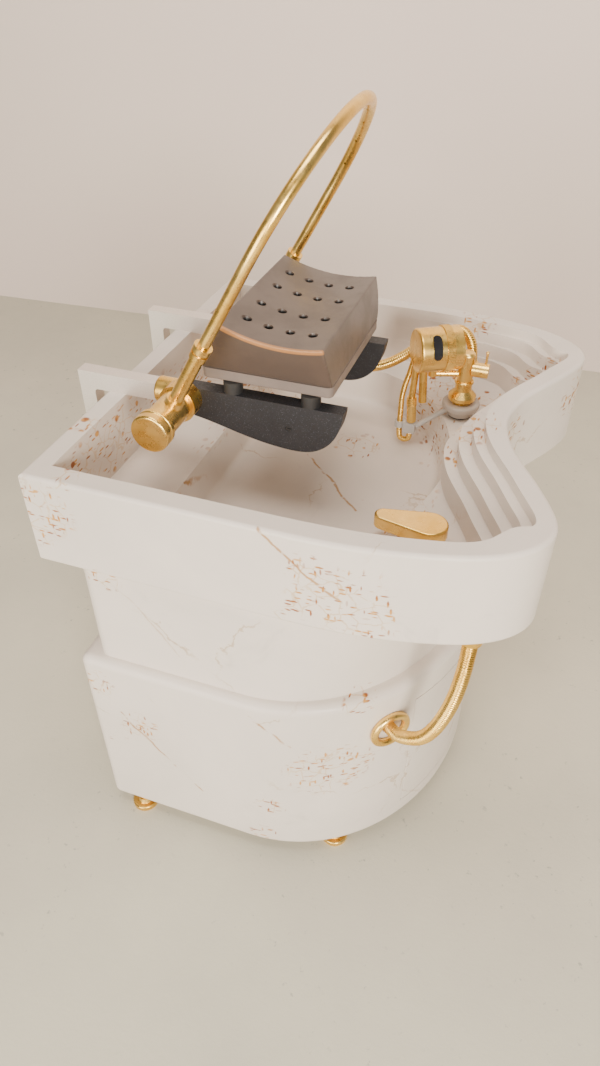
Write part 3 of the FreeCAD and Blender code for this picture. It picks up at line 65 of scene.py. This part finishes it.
class Graph:
    """Short names for the shader nodes that the materials are built from."""

    def __init__(self, material):
        self.tree = material.node_tree
        self.spot = self.add("ShaderNodeTexCoord").outputs["Object"]

    def add(self, kind, **settings):
        node = self.tree.nodes.new(kind)
        for key, value in settings.items():
            setattr(node, key, value)
        return node

    def link(self, source, target):
        if isinstance(source, (int, float)):
            target.default_value = source
        elif isinstance(source, (tuple, list)):
            target.default_value = source
        else:
            self.tree.links.new(source, target)

    def scaled(self, vector, scale, turn=(0.0, 0.0, 0.0)):
        node = self.add("ShaderNodeMapping")
        self.link(vector, node.inputs["Vector"])
        node.inputs["Rotation"].default_value = turn
        node.inputs["Scale"].default_value = scale if isinstance(scale, tuple) else (scale,) * 3
        return node.outputs["Vector"]

    def noise(self, vector, scale, detail=3.0, rough=0.5, warp=0.0, output="Fac"):
        node = self.add("ShaderNodeTexNoise")
        self.link(vector, node.inputs["Vector"])
        node.inputs["Scale"].default_value = scale
        node.inputs["Detail"].default_value = detail
        node.inputs["Roughness"].default_value = rough
        node.inputs["Distortion"].default_value = warp
        return node.outputs[output]

    def cells(self, vector, scale, feature="F1", output="Distance"):
        node = self.add("ShaderNodeTexVoronoi", feature=feature)
        self.link(vector, node.inputs["Vector"])
        node.inputs["Scale"].default_value = scale
        return node.outputs[output]

    def ramp(self, value, low, high, start=0.0, end=1.0):
        node = self.add("ShaderNodeMapRange", interpolation_type="SMOOTHSTEP")
        self.link(value, node.inputs["Value"])
        node.inputs["From Min"].default_value = low
        node.inputs["From Max"].default_value = high
        node.inputs["To Min"].default_value = start
        node.inputs["To Max"].default_value = end
        return node.outputs["Result"]

    def math(self, operation, first, second=0.0):
        node = self.add("ShaderNodeMath", operation=operation)
        self.link(first, node.inputs[0])
        self.link(second, node.inputs[1])
        return node.outputs[0]

    def shift(self, vector, other, amount):
        centred = self.add("ShaderNodeVectorMath", operation="SUBTRACT")
        self.link(other, centred.inputs[0])
        centred.inputs[1].default_value = (0.5, 0.5, 0.5)
        sized = self.add("ShaderNodeVectorMath", operation="SCALE")
        self.link(centred.outputs[0], sized.inputs[0])
        sized.inputs["Scale"].default_value = amount
        moved = self.add("ShaderNodeVectorMath", operation="ADD")
        self.link(vector, moved.inputs[0])
        self.link(sized.outputs[0], moved.inputs[1])
        return moved.outputs[0]

    def mix(self, factor, first, second):
        node = self.add("ShaderNodeMix", data_type="RGBA")
        self.link(factor, node.inputs["Factor"])
        self.link(first, node.inputs[6])
        self.link(second, node.inputs[7])
        return node.outputs[2]

    def bump(self, shader, height, strength, distance):
        node = self.add("ShaderNodeBump")
        self.link(height, node.inputs["Height"])
        node.inputs["Strength"].default_value = strength
        node.inputs["Distance"].default_value = distance
        self.link(node.outputs["Normal"], shader.inputs["Normal"])


# ---------------------------------------------------------------- materials
# places of the gold clusters and the ends of the long veins, in metres
CLUSTERS = (
    ((-0.250, -0.300, 0.590), 0.052), ((0.115, -0.292, 0.560), 0.062), ((0.075, -0.300, 0.600), 0.030),
    ((-0.215, -0.298, 0.648), 0.022), ((-0.190, -0.298, 0.500), 0.026), ((0.040, -0.300, 0.520), 0.016),
    ((-0.225, -0.300, 0.300), 0.030), ((-0.175, -0.300, 0.230), 0.032), ((0.095, -0.270, 0.215), 0.058),
    ((0.020, -0.300, 0.128), 0.026), ((0.125, -0.255, 0.342), 0.022), ((0.215, -0.150, 0.200), 0.030),
    ((0.290, 0.180, 0.600), 0.045), ((0.235, 0.030, 0.585), 0.045), ((0.190, -0.020, 0.560), 0.040),
    ((-0.268, -0.180, 0.641), 0.022), ((-0.262, 0.130, 0.560), 0.060), ((-0.250, -0.050, 0.250), 0.060),
    ((-0.150, 0.300, 0.580), 0.060), ((0.120, 0.290, 0.540), 0.050), ((0.030, 0.300, 0.200), 0.060),
    ((0.150, 0.270, 0.641), 0.030), ((-0.185, -0.215, 0.553), 0.030), ((-0.130, -0.190, 0.505), 0.034),
    ((0.020, 0.090, 0.501), 0.040), ((0.130, 0.230, 0.590), 0.030), ((0.190, 0.200, 0.560), 0.028),
    ((-0.200, 0.120, 0.330), 0.050), ((0.245, 0.000, 0.150), 0.022), ((0.060, -0.265, 0.553), 0.026),
)
VEINS = (
    ((-0.196, -0.300, 0.512), (-0.105, -0.300, 0.390)), ((0.020, -0.300, 0.640), (0.110, -0.300, 0.560)),
    ((-0.200, -0.300, 0.250), (-0.090, -0.300, 0.110)), ((-0.010, -0.300, 0.330), (0.050, -0.300, 0.270)),
    ((0.050, -0.300, 0.515), (0.140, -0.280, 0.500)), ((-0.262, -0.100, 0.620), (-0.262, 0.060, 0.530)),
    ((-0.250, 0.020, 0.330), (-0.250, 0.160, 0.120)), ((-0.180, 0.300, 0.630), (-0.020, 0.300, 0.530)),
    ((0.060, 0.300, 0.320), (0.150, 0.250, 0.130)), ((0.230, 0.060, 0.300), (0.245, -0.080, 0.110)),
    ((-0.060, 0.060, 0.501), (0.060, -0.060, 0.501)), ((-0.148, -0.150, 0.550), (-0.140, -0.080, 0.505)),
)
# weights that let a place on a wall or a level face nearly ignore its depth
SIDE_FACES = (1.0, 0.12, 1.0)
END_FACES = (0.12, 1.0, 1.0)
LEVEL_FACES = (1.0, 1.0, 0.12)


def facing(place):
    """Which of the three weights suits a place: side walls, end walls, or level faces."""
    if abs(place[1]) > 0.25:
        return SIDE_FACES
    if abs(place[0]) > 0.21:
        return END_FACES
    return LEVEL_FACES


def weighed(place, weights):
    """A place with each coordinate times its weight."""
    return Vector([a * b for a, b in zip(place, weights)])


def splinters(g, fine):
    """Long thin chips in three directions, each kept or dropped by its own cell's random colour."""
    chips = 0.0
    for turn, density in (((0.5, 0.7, 0.2), (55, 55, 210)), ((0.9, -0.6, 1.1), (210, 62, 62)),
                          ((-0.4, 0.3, -0.8), (70, 70, 230))):
        spot = g.scaled(g.shift(g.spot, fine, 0.006), density, turn)
        shape = g.ramp(g.cells(spot, 1.0), 0.36, 0.20)
        kept = g.ramp(g.cells(spot, 1.0, output="Color"), 0.56, 0.62)
        chips = g.math("MAXIMUM", g.math("MULTIPLY", shape, kept), chips)
    return chips


def marble():
    """Warm off-white gel coat: gold splinters in clusters, long thin veins and faint grey clouds."""
    material, shader = new_material("marble")
    g = Graph(material)
    fine = g.noise(g.spot, 26.0, 4.0, 0.6, output="Color")
    broad = g.noise(g.spot, 7.0, 3.0, 0.55, output="Color")
    warped = g.shift(g.shift(g.spot, fine, 0.010), broad, 0.040)
    views = {weights: g.scaled(warped, weights) for weights in (SIDE_FACES, END_FACES, LEVEL_FACES)}
    near_cluster = 0.0
    for centre, radius in CLUSTERS:
        weights = facing(centre)
        distance = g.add("ShaderNodeVectorMath", operation="DISTANCE")
        g.link(views[weights], distance.inputs[0])
        distance.inputs[1].default_value = weighed(centre, weights)
        strength = g.ramp(distance.outputs["Value"], radius * 1.2, radius * 0.3)
        near_cluster = g.math("MAXIMUM", strength, near_cluster)
    near_vein = 0.0
    for start, end in VEINS:
        weights = facing(start)
        line = vein_strength(g, views[weights], weighed(start, weights), weighed(end, weights))
        near_vein = g.math("MAXIMUM", line, near_vein)
    chips = splinters(g, fine)
    dense = g.math("MULTIPLY", chips, g.ramp(near_cluster, 0.12, 0.55))
    stray = g.math("MULTIPLY", chips, g.ramp(g.noise(g.spot, 11.0, 2.0, 0.5), 0.70, 0.74))
    marks = g.math("MAXIMUM", dense, stray)
    breaks = g.ramp(g.noise(g.spot, 38.0, 3.0, 0.6), 0.36, 0.50)
    long_veins = g.math("MULTIPLY", near_vein, breaks)
    crack = g.ramp(g.cells(g.shift(warped, fine, 0.05), 5.5, "DISTANCE_TO_EDGE"), 0.014, 0.003)
    crack_mask = g.ramp(g.noise(g.spot, 4.6, 3.0, 0.6), 0.54, 0.64)
    cracks = g.math("MULTIPLY", g.math("MULTIPLY", crack, crack_mask), breaks)
    web = g.ramp(g.cells(g.shift(g.spot, fine, 0.02), 46.0, "DISTANCE_TO_EDGE"), 0.050, 0.010)
    web = g.math("MULTIPLY", g.math("MULTIPLY", web, g.ramp(near_cluster, 0.25, 0.8)), breaks)
    tone = g.noise(g.spot, 3.1, 5.0, 0.6, 0.6)
    base = g.mix(g.ramp(tone, 0.35, 0.7), (0.80, 0.72, 0.645, 1), (0.72, 0.65, 0.585, 1))
    cloud = g.ramp(g.noise(g.spot, 9.0, 6.0, 0.62, 1.2), 0.60, 0.80)
    base = g.mix(g.math("MULTIPLY", cloud, 0.45), base, (0.52, 0.46, 0.41, 1))
    rust = g.mix(g.ramp(g.noise(g.spot, 75.0, 2.0), 0.40, 0.60), (0.30, 0.085, 0.012, 1),
                 (0.62, 0.32, 0.08, 1))
    colour = g.mix(g.math("MULTIPLY", cracks, 0.70), base, (0.50, 0.36, 0.22, 1))
    colour = g.mix(g.math("MULTIPLY", web, 0.60), colour, (0.62, 0.43, 0.22, 1))
    colour = g.mix(g.math("MULTIPLY", long_veins, 0.90), colour, (0.46, 0.25, 0.09, 1))
    colour = g.mix(marks, colour, rust)
    g.link(colour, shader.inputs["Base Color"])
    g.link(g.ramp(g.noise(g.spot, 14.0, 4.0, 0.6), 0.3, 0.7, 0.30, 0.44), shader.inputs["Roughness"])
    shader.inputs["Specular IOR Level"].default_value = 0.42
    g.bump(shader, g.noise(g.spot, 55.0, 3.0, 0.6), 0.05, 0.0008)
    return material


def vein_strength(g, spot, start, end):
    """1 on the line from start to end, fading to 0 within two millimetres."""
    along = end - start
    offset = g.add("ShaderNodeVectorMath", operation="SUBTRACT")
    g.link(spot, offset.inputs[0])
    offset.inputs[1].default_value = start
    share = g.add("ShaderNodeVectorMath", operation="DOT_PRODUCT")
    g.link(offset.outputs[0], share.inputs[0])
    share.inputs[1].default_value = along / along.length_squared
    clamp = g.add("ShaderNodeClamp")
    g.link(share.outputs["Value"], clamp.inputs["Value"])
    foot = g.add("ShaderNodeVectorMath", operation="SCALE")
    foot.inputs[0].default_value = along
    g.link(clamp.outputs[0], foot.inputs["Scale"])
    gap = g.add("ShaderNodeVectorMath", operation="DISTANCE")
    g.link(offset.outputs[0], gap.inputs[0])
    g.link(foot.outputs[0], gap.inputs[1])
    return g.ramp(gap.outputs["Value"], 0.0022, 0.0006)


def gold(name, base=(0.95, 0.66, 0.21, 1), deep=(0.84, 0.52, 0.11, 1), rough=(0.22, 0.36)):
    """Satin gold plating: slight colour drift, fine grain and soft smudges in the gloss."""
    material, shader = new_material(name)
    g = Graph(material)
    drift = g.ramp(g.noise(g.spot, 18.0, 4.0, 0.6), 0.35, 0.7)
    g.link(g.mix(drift, base, deep), shader.inputs["Base Color"])
    smudge = g.noise(g.spot, 60.0, 5.0, 0.65)
    g.link(g.ramp(smudge, 0.3, 0.7, *rough), shader.inputs["Roughness"])
    shader.inputs["Metallic"].default_value = 1.0
    g.bump(shader, g.noise(g.spot, 900.0, 2.0, 0.7), 0.04, 0.0004)
    return material


def metal(name, light, dark, rough, stretch):
    """Brushed or satin metal with fine streaks across the stretch direction."""
    material, shader = new_material(name)
    g = Graph(material)
    streaks = g.noise(g.scaled(g.spot, stretch), 260.0, 3.0, 0.6)
    g.link(g.mix(g.ramp(streaks, 0.3, 0.7), light, dark), shader.inputs["Base Color"])
    g.link(g.ramp(streaks, 0.25, 0.75, *rough), shader.inputs["Roughness"])
    shader.inputs["Metallic"].default_value = 1.0
    g.bump(shader, streaks, 0.05, 0.0003)
    return material


def black_speckle():
    """Black powder coat with fine bluish speckle."""
    material, shader = new_material("black_powder")
    g = Graph(material)
    grains = g.ramp(g.cells(g.spot, 760.0), 0.34, 0.14)
    kept = g.ramp(g.noise(g.spot, 700.0, 2.0), 0.52, 0.60)
    speck = g.math("MULTIPLY", grains, kept)
    base = g.mix(g.noise(g.spot, 40.0, 3.0), (0.012, 0.012, 0.014, 1), (0.022, 0.022, 0.026, 1))
    g.link(g.mix(speck, base, (0.13, 0.145, 0.18, 1)), shader.inputs["Base Color"])
    g.link(g.ramp(g.noise(g.spot, 500.0, 2.0), 0.3, 0.7, 0.42, 0.60), shader.inputs["Roughness"])
    g.bump(shader, g.noise(g.spot, 800.0, 3.0, 0.6), 0.35, 0.0006)
    return material


def moulded(name, light, dark, rough, grain_scale=420.0, grain=0.08):
    """Moulded plastic or foam skin: faint mottling and a fine grain."""
    material, shader = new_material(name)
    g = Graph(material)
    mottle = g.ramp(g.noise(g.spot, 22.0, 5.0, 0.6), 0.32, 0.70)
    g.link(g.mix(mottle, light, dark), shader.inputs["Base Color"])
    fine = g.noise(g.spot, grain_scale, 3.0, 0.6)
    g.link(g.ramp(g.math("ADD", fine, mottle), 0.5, 1.4, *rough), shader.inputs["Roughness"])
    g.bump(shader, fine, grain, 0.0005)
    return material


PAD_BACK, PAD_LENGTH = -0.103, 0.128     # where the pad's hollow top starts, and its length along X
PAD_HIGH = 0.7625                        # height of the top at its back edge
PAD_FALL, PAD_RISE = 0.052, 0.0395       # how steeply the top falls, and how much it turns up again
PAD_FIELD_X = 0.040                      # the field of holes is centred this far behind the origin


def pad_top(share):
    """Height of the pad's hollow top, for a share of its length from the back edge."""
    return PAD_HIGH + share * (PAD_RISE * share - PAD_FALL)


def pad_skin():
    """Satin foam skin, with painted shade in the holes and a painted copper-coloured reflection band along the
    near side of the top.
    """
    material, shader = new_material("pad_skin")
    g = Graph(material)
    place = g.add("ShaderNodeSeparateXYZ")
    g.link(g.spot, place.inputs[0])
    x, y, z = place.outputs
    share = g.math("DIVIDE", g.math("SUBTRACT", x, PAD_BACK), PAD_LENGTH)
    slope = g.math("SUBTRACT", g.math("MULTIPLY", share, PAD_RISE), PAD_FALL)
    top = g.math("ADD", g.math("MULTIPLY", share, slope), PAD_HIGH)
    depth = g.math("SUBTRACT", top, z)
    # painted reflection: a copper-coloured band along the near edge of the top, standing in for a warm
    # reflection
    painted_reflection_band = g.math("MULTIPLY", g.ramp(depth, 0.0058, 0.0042), g.ramp(y, -0.1090, -0.1110))
    inside_x = g.ramp(g.math("ABSOLUTE", g.math("ADD", x, PAD_FIELD_X)), 0.053, 0.050)
    inside_y = g.ramp(g.math("ABSOLUTE", y), 0.088, 0.084)
    # painted shade: near-black deep inside the holes of the field, where shade falls
    painted_hole_shade = g.math("MULTIPLY", g.ramp(depth, 0.0012, 0.0030), g.math("MULTIPLY", inside_x, inside_y))
    mottle = g.ramp(g.noise(g.spot, 22.0, 5.0, 0.6), 0.32, 0.70)
    skin = g.mix(mottle, (0.090, 0.060, 0.044, 1), (0.072, 0.048, 0.036, 1))
    skin = g.mix(painted_reflection_band, skin, (0.42, 0.185, 0.055, 1))
    g.link(g.mix(painted_hole_shade, skin, (0.008, 0.007, 0.007, 1)), shader.inputs["Base Color"])
    fine = g.noise(g.spot, 650.0, 3.0, 0.6)
    g.link(g.ramp(g.math("ADD", fine, mottle), 0.5, 1.4, 0.34, 0.46), shader.inputs["Roughness"])
    shader.inputs["Sheen Weight"].default_value = 0.10
    shader.inputs["Specular IOR Level"].default_value = 0.75
    g.bump(shader, fine, 0.05, 0.0005)
    return material


def floor_finish():
    """Pale speckled concrete."""
    material, shader = new_material("pale_concrete")
    g = Graph(material)
    broad = g.ramp(g.noise(g.spot, 1.6, 6.0, 0.6), 0.35, 0.68)
    base = g.mix(broad, (0.66, 0.625, 0.50, 1), (0.58, 0.55, 0.45, 1))
    pits = g.ramp(g.noise(g.spot, 62.0, 5.0, 0.66), 0.615, 0.70)
    patches = g.ramp(g.noise(g.spot, 2.4, 4.0, 0.6), 0.42, 0.58)
    spots = g.math("MULTIPLY", pits, patches)
    colour = g.mix(g.math("MULTIPLY", spots, 0.55), base, (0.17, 0.19, 0.17, 1))
    g.link(colour, shader.inputs["Base Color"])
    g.link(g.ramp(g.noise(g.spot, 30.0, 4.0, 0.6), 0.3, 0.7, 0.55, 0.75), shader.inputs["Roughness"])
    g.bump(shader, g.noise(g.spot, 120.0, 6.0, 0.65), 0.25, 0.002)
    return material


def wall_finish():
    """Plain warm plaster."""
    material, shader = new_material("warm_plaster")
    g = Graph(material)
    broad = g.ramp(g.noise(g.spot, 0.9, 4.0, 0.5), 0.35, 0.65)
    g.link(g.mix(broad, (0.90, 0.77, 0.69, 1), (0.88, 0.75, 0.675, 1)), shader.inputs["Base Color"])
    shader.inputs["Roughness"].default_value = 0.85
    g.bump(shader, g.noise(g.spot, 90.0, 4.0, 0.6), 0.06, 0.001)
    return material


MATERIALS = {
    "marble": marble(),
    "gold": gold("gold"),
    "gold_hose": gold("gold_hose", (0.93, 0.63, 0.18, 1), (0.78, 0.46, 0.09, 1), (0.22, 0.32)),
    "steel": metal("satin_steel", (0.90, 0.85, 0.80, 1), (0.80, 0.75, 0.71, 1), (0.44, 0.56),
                   (1.0, 14.0, 14.0)),
    "grey_flange": moulded("satin_grey", (0.50, 0.44, 0.385, 1), (0.43, 0.38, 0.335, 1), (0.34, 0.48)),
    "black_bracket": black_speckle(),
    "black_post": moulded("black_post", (0.016, 0.016, 0.017, 1), (0.028, 0.027, 0.026, 1), (0.42, 0.58)),
    "pad": pad_skin(),
    "tray": moulded("tray_skin", (0.235, 0.190, 0.165, 1), (0.200, 0.160, 0.140, 1), (0.32, 0.44),
                     700.0, 0.05),
    "bumper": moulded("rubber", (0.020, 0.020, 0.020, 1), (0.032, 0.031, 0.030, 1), (0.60, 0.80)),
    "window": moulded("black_glass", (0.012, 0.012, 0.014, 1), (0.020, 0.020, 0.022, 1), (0.10, 0.20),
                       300.0, 0.01),
    "clip": moulded("light_plastic", (0.56, 0.53, 0.50, 1), (0.47, 0.445, 0.42, 1), (0.36, 0.50)),
    "pipe": moulded("white_pipe", (0.70, 0.70, 0.68, 1), (0.62, 0.62, 0.60, 1), (0.35, 0.48)),
    "pump": moulded("pump_grey", (0.05, 0.055, 0.06, 1), (0.08, 0.085, 0.09, 1), (0.45, 0.60)),
    "inlet": gold("plain_brass", (0.70, 0.50, 0.22, 1), (0.58, 0.40, 0.16, 1), (0.30, 0.42)),
}


def dress_frame():
    """Every carried-over node gets the finish of its slot."""
    slot_of = {part["node"]: part["material_slot"] for part in frame["record"]["subparts"]}
    for name, node in nodes.items():
        node.data.materials.clear()
        node.data.materials.append(MATERIALS[slot_of[name]])


# ---------------------------------------------------------------- hoses
RINGS_A_RIB = 5


def smooth_line(points, name):
    """Points along the smooth spline whose control points are the route."""
    curve = bpy.data.curves.new(name + "_line", "CURVE")
    curve.dimensions = "3D"
    curve.resolution_u = 24
    spline = curve.splines.new("NURBS")
    spline.points.add(len(points) - 1)
    for point, place in zip(spline.points, points):
        point.co = (*(Vector(place) * MM), 1.0)
    spline.order_u = 3
    spline.use_endpoint_u = True
    holder = bpy.data.objects.new(name + "_line", curve)
    mesh = bpy.data.meshes.new_from_object(holder)
    line = [v.co.copy() for v in mesh.vertices]
    bpy.data.objects.remove(holder)
    return line


def stations(line, step):
    """Places at even steps along a line."""
    lengths = [0.0]
    for a, b in zip(line, line[1:]):
        lengths.append(lengths[-1] + (b - a).length)
    total = lengths[-1]
    count = max(2, round(total / step))
    result = []
    k = 0
    for n in range(count + 1):
        want = total * n / count
        while k < len(line) - 2 and lengths[k + 1] < want:
            k += 1
        part = (want - lengths[k]) / max(lengths[k + 1] - lengths[k], 1e-9)
        result.append(line[k].lerp(line[k + 1], min(1.0, part)))
    return result


def ribbed_hose(name, node, points, radius, pitch, depth, sides):
    """A tube with round ribs along the route, standing for the plain tube of the frame."""
    places = stations(smooth_line(points, name), pitch / RINGS_A_RIB * MM)
    bm = bmesh.new()
    rings = []
    side = None
    for n, place in enumerate(places):
        ahead = places[min(n + 1, len(places) - 1)] - places[max(n - 1, 0)]
        ahead.normalize()
        if side is None:
            side = ahead.orthogonal().normalized()
        side = (side - ahead * side.dot(ahead)).normalized()
        other = ahead.cross(side)
        wave = abs(math.sin(math.pi * (n % RINGS_A_RIB) / RINGS_A_RIB))
        size = (radius - depth + depth * wave ** 0.6) * MM
        ring = []
        for k in range(sides):
            turn = 2 * math.pi * k / sides
            ring.append(bm.verts.new(place + (side * math.cos(turn) + other * math.sin(turn)) * size))
        rings.append(ring)
    for low, high in zip(rings, rings[1:]):
        for k in range(sides):
            bm.faces.new((low[k], low[(k + 1) % sides], high[(k + 1) % sides], high[k]))
    bm.faces.new(list(reversed(rings[0])))
    bm.faces.new(rings[-1])
    piece = finish_mesh(bm, name, MATERIALS["gold_hose"])
    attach(piece, STAND)
    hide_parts(node)


def finish_mesh(bm, name, material):
    """Turns a bmesh into a smooth-shaded object."""
    bmesh.ops.recalc_face_normals(bm, faces=bm.faces)
    mesh = bpy.data.meshes.new(name)
    bm.to_mesh(mesh)
    bm.free()
    for face in mesh.polygons:
        face.use_smooth = True
    piece = bpy.data.objects.new(name, mesh)
    bpy.context.scene.collection.objects.link(piece)
    mesh.materials.append(material)
    return piece


# control points of the routes in millimetres
SUPPLY_ROUTE = (
    (152.6, -211.5, 275), (173.2, -230.5, 275), (194, -247, 298), (212, -257, 320), (225, -262, 350),
    (235, -263, 385), (242, -260, 420), (245.5, -251, 453), (246, -239.5, 477), (246, -238, 498),
)
FEED_ROUTE = (
    (158.5, 157.5, 622), (158.5, 157.5, 646), (148, 169, 661), (130, 186, 661), (107, 181, 652), (86, 166, 640),
    (66, 154, 625), (47, 152, 611), (28, 154, 600), (0, 158, 590), (-31, 162, 584), (-66, 160, 578),
    (-108, 148, 576), (-140, 128, 582), (-156, 116.2, 604), (-156, 116.2, 628),
)
LEAD_ROUTE = (
    (83.5, 129, 640), (80, 127.5, 616), (74, 125, 594), (71.5, 121, 574), (72.8, 116, 557), (72.8, 116, 513.4),
    (77.8, 116, 508.4), (84.6, 116, 508.4), (89.6, 116, 513.4), (89.6, 116, 540.1),
)


def hoses():
    """The three ribbed hoses."""
    ribbed_hose("ribbed_supply_hose", "supply_hose", SUPPLY_ROUTE, 9.2, 3.2, 1.3, 24)
    ribbed_hose("ribbed_feed_hose", "feed_hose", FEED_ROUTE, 7.5, 2.8, 1.1, 20)
    ribbed_hose("ribbed_sensor_lead", "sensor_lead", LEAD_ROUTE, 4.2, 1.9, 0.5, 16)


# ---------------------------------------------------------------- neck pad
HOLE_ROWS = (-80.5, -54.0, -27.5, 0.0)
HOLE_COLUMNS = (-72.5, -27.0, 27.0, 72.5)
# each cutter: radius at its foot, radius at its head, depth of the foot below the pad's top
HOLE_CUTTERS = ((5.5, 5.5, 18.0), (5.4, 24.3, 0.9))
CUTTER_HEIGHT = 30.0
SEAM_SETBACK, TOP_SETBACK, FRONT_SETBACK = 0.0008, 0.0006, 0.0005
CROWN, FRONT_CROWN = 0.0022, 0.6         # how far the sides bulge, and the front's share of it


def neck_pad():
    """The moulded pad: hollow top, soft edges, slightly crowned sides and dished holes."""
    low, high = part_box("neck_pad")
    tray_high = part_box("pad_tray")[1]
    seam = low.z
    back_top, front_top = PAD_BACK, PAD_BACK + PAD_LENGTH
    half_low = tray_high.y - SEAM_SETBACK
    half_top = high.y - TOP_SETBACK
    across, around = 40, 64
    bm = bmesh.new()

    levels = 12
    grid = {}
    for i in range(across + 1):
        u = i / across
        for j in range(around + 1):
            v = j / around * 2 - 1
            for level in (0, levels):
                height = level / levels
                x_back = low.x + (back_top - low.x) * height
                x_front = high.x - FRONT_SETBACK + (front_top - high.x + FRONT_SETBACK) * height
                half = half_low + (half_top - half_low) * height
                x = x_back + (x_front - x_back) * u
                z = seam if level == 0 else pad_top((x - back_top) / PAD_LENGTH)
                grid[(i, j, level)] = bm.verts.new((x, v * half, z))
    border = [(i, 0) for i in range(across)] + [(across, j) for j in range(around)]
    border += [(i, around) for i in range(across, 0, -1)] + [(0, j) for j in range(around, 0, -1)]
    for i, j in border:
        foot = grid[(i, j, 0)].co
        head = grid[(i, j, levels)].co
        for level in range(1, levels):
            share = level / levels
            place = foot.lerp(head, share)
            crown = CROWN * math.sin(math.pi * share)
            if i == 0:
                place.x -= crown
            if i == across:
                place.x += crown * FRONT_CROWN
            if j in (0, around):
                place.y += math.copysign(crown, place.y)
            grid[(i, j, level)] = bm.verts.new(place)
    for level in (0, levels):
        for i in range(across):
            for j in range(around):
                bm.faces.new([grid[(i + a, j + b, level)] for a, b in ((0, 0), (1, 0), (1, 1), (0, 1))])
    for level in range(levels):
        for (i, j), (k, l) in zip(border, border[1:] + border[:1]):
            bm.faces.new((grid[(i, j, level)], grid[(k, l, level)],
                          grid[(k, l, level + 1)], grid[(i, j, level + 1)]))
    pad = finish_mesh(bm, "moulded_neck_pad", MATERIALS["pad"])
    soften(pad, 0.0012, 6)
    drill_pad(pad)
    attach(pad, "neck_rest")
    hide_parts("neck_pad")


def apply_modifiers(piece):
    """Writes a piece's modifiers into its mesh."""
    view = bpy.context.evaluated_depsgraph_get()
    mesh = bpy.data.meshes.new_from_object(piece.evaluated_get(view))
    piece.modifiers.clear()
    piece.data = mesh
    for face in piece.data.polygons:
        face.use_smooth = True


def soften(piece, voxel, rounds):
    """Even remesh, then rounds of smoothing that soften the edges."""
    remesh = piece.modifiers.new("even", "REMESH")
    remesh.mode = "VOXEL"
    remesh.voxel_size = voxel
    smooth = piece.modifiers.new("soft", "SMOOTH")
    smooth.factor = 0.5
    smooth.iterations = rounds
    apply_modifiers(piece)


def drill_pad(pad):
    """Cuts the grid of blind holes, each with a narrow chamfer at its mouth."""
    bm = bmesh.new()
    for x in HOLE_ROWS:
        for y in HOLE_COLUMNS:
            top = pad_top((x * MM - PAD_BACK) / PAD_LENGTH) / MM
            for foot, head, depth in HOLE_CUTTERS:
                centre = Vector((x, y, top - depth + CUTTER_HEIGHT / 2)) * MM
                bmesh.ops.create_cone(bm, cap_ends=True, segments=28, radius1=foot * MM, radius2=head * MM,
                                      depth=CUTTER_HEIGHT * MM, matrix=Matrix.Translation(centre))
    drills = finish_mesh(bm, "drills", MATERIALS["pad"])
    cut = pad.modifiers.new("holes", "BOOLEAN")
    cut.object = drills
    cut.operation = "DIFFERENCE"
    cut.solver = "EXACT"
    cut.use_self = True
    apply_modifiers(pad)
    bpy.data.objects.remove(drills)
    pad.data.set_sharp_from_angle(angle=math.radians(38))


# ---------------------------------------------------------------- room, light and camera
ROOM_SIZE = 12.0
WALL_CENTRE = (-0.4, 1.405, 3.0)
WALL_TURN = 3.4                          # degrees from the basin's long side
CAMERA_PLACE = (0.2634, -0.8616, 1.1460)
CAMERA_TURN, CAMERA_DIP = -19.475, 39.863    # degrees from the Y axis, and below the level
CAMERA_LENS = 26.38


def room():
    """A pale floor and a warm wall well behind the object."""
    bpy.ops.mesh.primitive_plane_add(size=ROOM_SIZE, location=(0.0, 0.0, 0.0))
    floor = bpy.context.object
    floor.name = "floor"
    floor.data.materials.append(floor_finish())
    bpy.ops.mesh.primitive_plane_add(size=ROOM_SIZE, location=WALL_CENTRE)
    wall = bpy.context.object
    wall.name = "backdrop"
    wall.rotation_euler = (math.radians(90), 0.0, math.radians(WALL_TURN))
    wall.data.materials.append(wall_finish())


def area_light(name, place, target, size, power, colour):
    """A square area light aimed at a point."""
    data = bpy.data.lights.new(name, "AREA")
    data.size = size
    data.energy = power
    data.color = colour
    lamp = bpy.data.objects.new(name, data)
    lamp.location = place
    lamp.rotation_euler = (Vector(target) - Vector(place)).to_track_quat("-Z", "Y").to_euler()
    bpy.context.scene.collection.objects.link(lamp)


def light():
    """Two warm area lights on the camera's side, one on the wall, and faint surroundings."""
    world = bpy.data.worlds.new("soft_room")
    bpy.context.scene.world = world
    world.use_nodes = True
    sky = world.node_tree.nodes["Background"]
    sky.inputs["Color"].default_value = (1.0, 0.95, 0.90, 1)
    sky.inputs["Strength"].default_value = 0.27
    area_light("key", (1.5, -2.6, 1.45), (0.0, 0.0, 0.40), 0.9, 105.0, (1.0, 0.93, 0.83))
    area_light("front", (-0.6, -3.0, 1.0), (0.0, 0.0, 0.35), 1.8, 85.0, (1.0, 0.93, 0.83))
    area_light("wall_wash", (0.0, -0.3, 3.2), (0.0, 1.4, 1.2), 1.6, 62.0, (1.0, 0.91, 0.82))


def camera():
    """The camera stands in front of the near side, above the rim, and looks down at the basin."""
    data = bpy.data.cameras.new("camera")
    data.sensor_width = 36.0
    data.lens = CAMERA_LENS
    data.clip_end = 50.0
    eye = bpy.data.objects.new("camera", data)
    turn = math.radians(CAMERA_TURN)
    dip = math.radians(CAMERA_DIP)
    ahead = Vector((math.cos(dip) * math.sin(turn), math.cos(dip) * math.cos(turn), -math.sin(dip)))
    eye.location = CAMERA_PLACE
    eye.rotation_euler = ahead.to_track_quat("-Z", "Y").to_euler()
    bpy.context.scene.collection.objects.link(eye)
    bpy.context.scene.camera = eye


camera()
room()
light()
dress_frame()
hoses()
neck_pad()
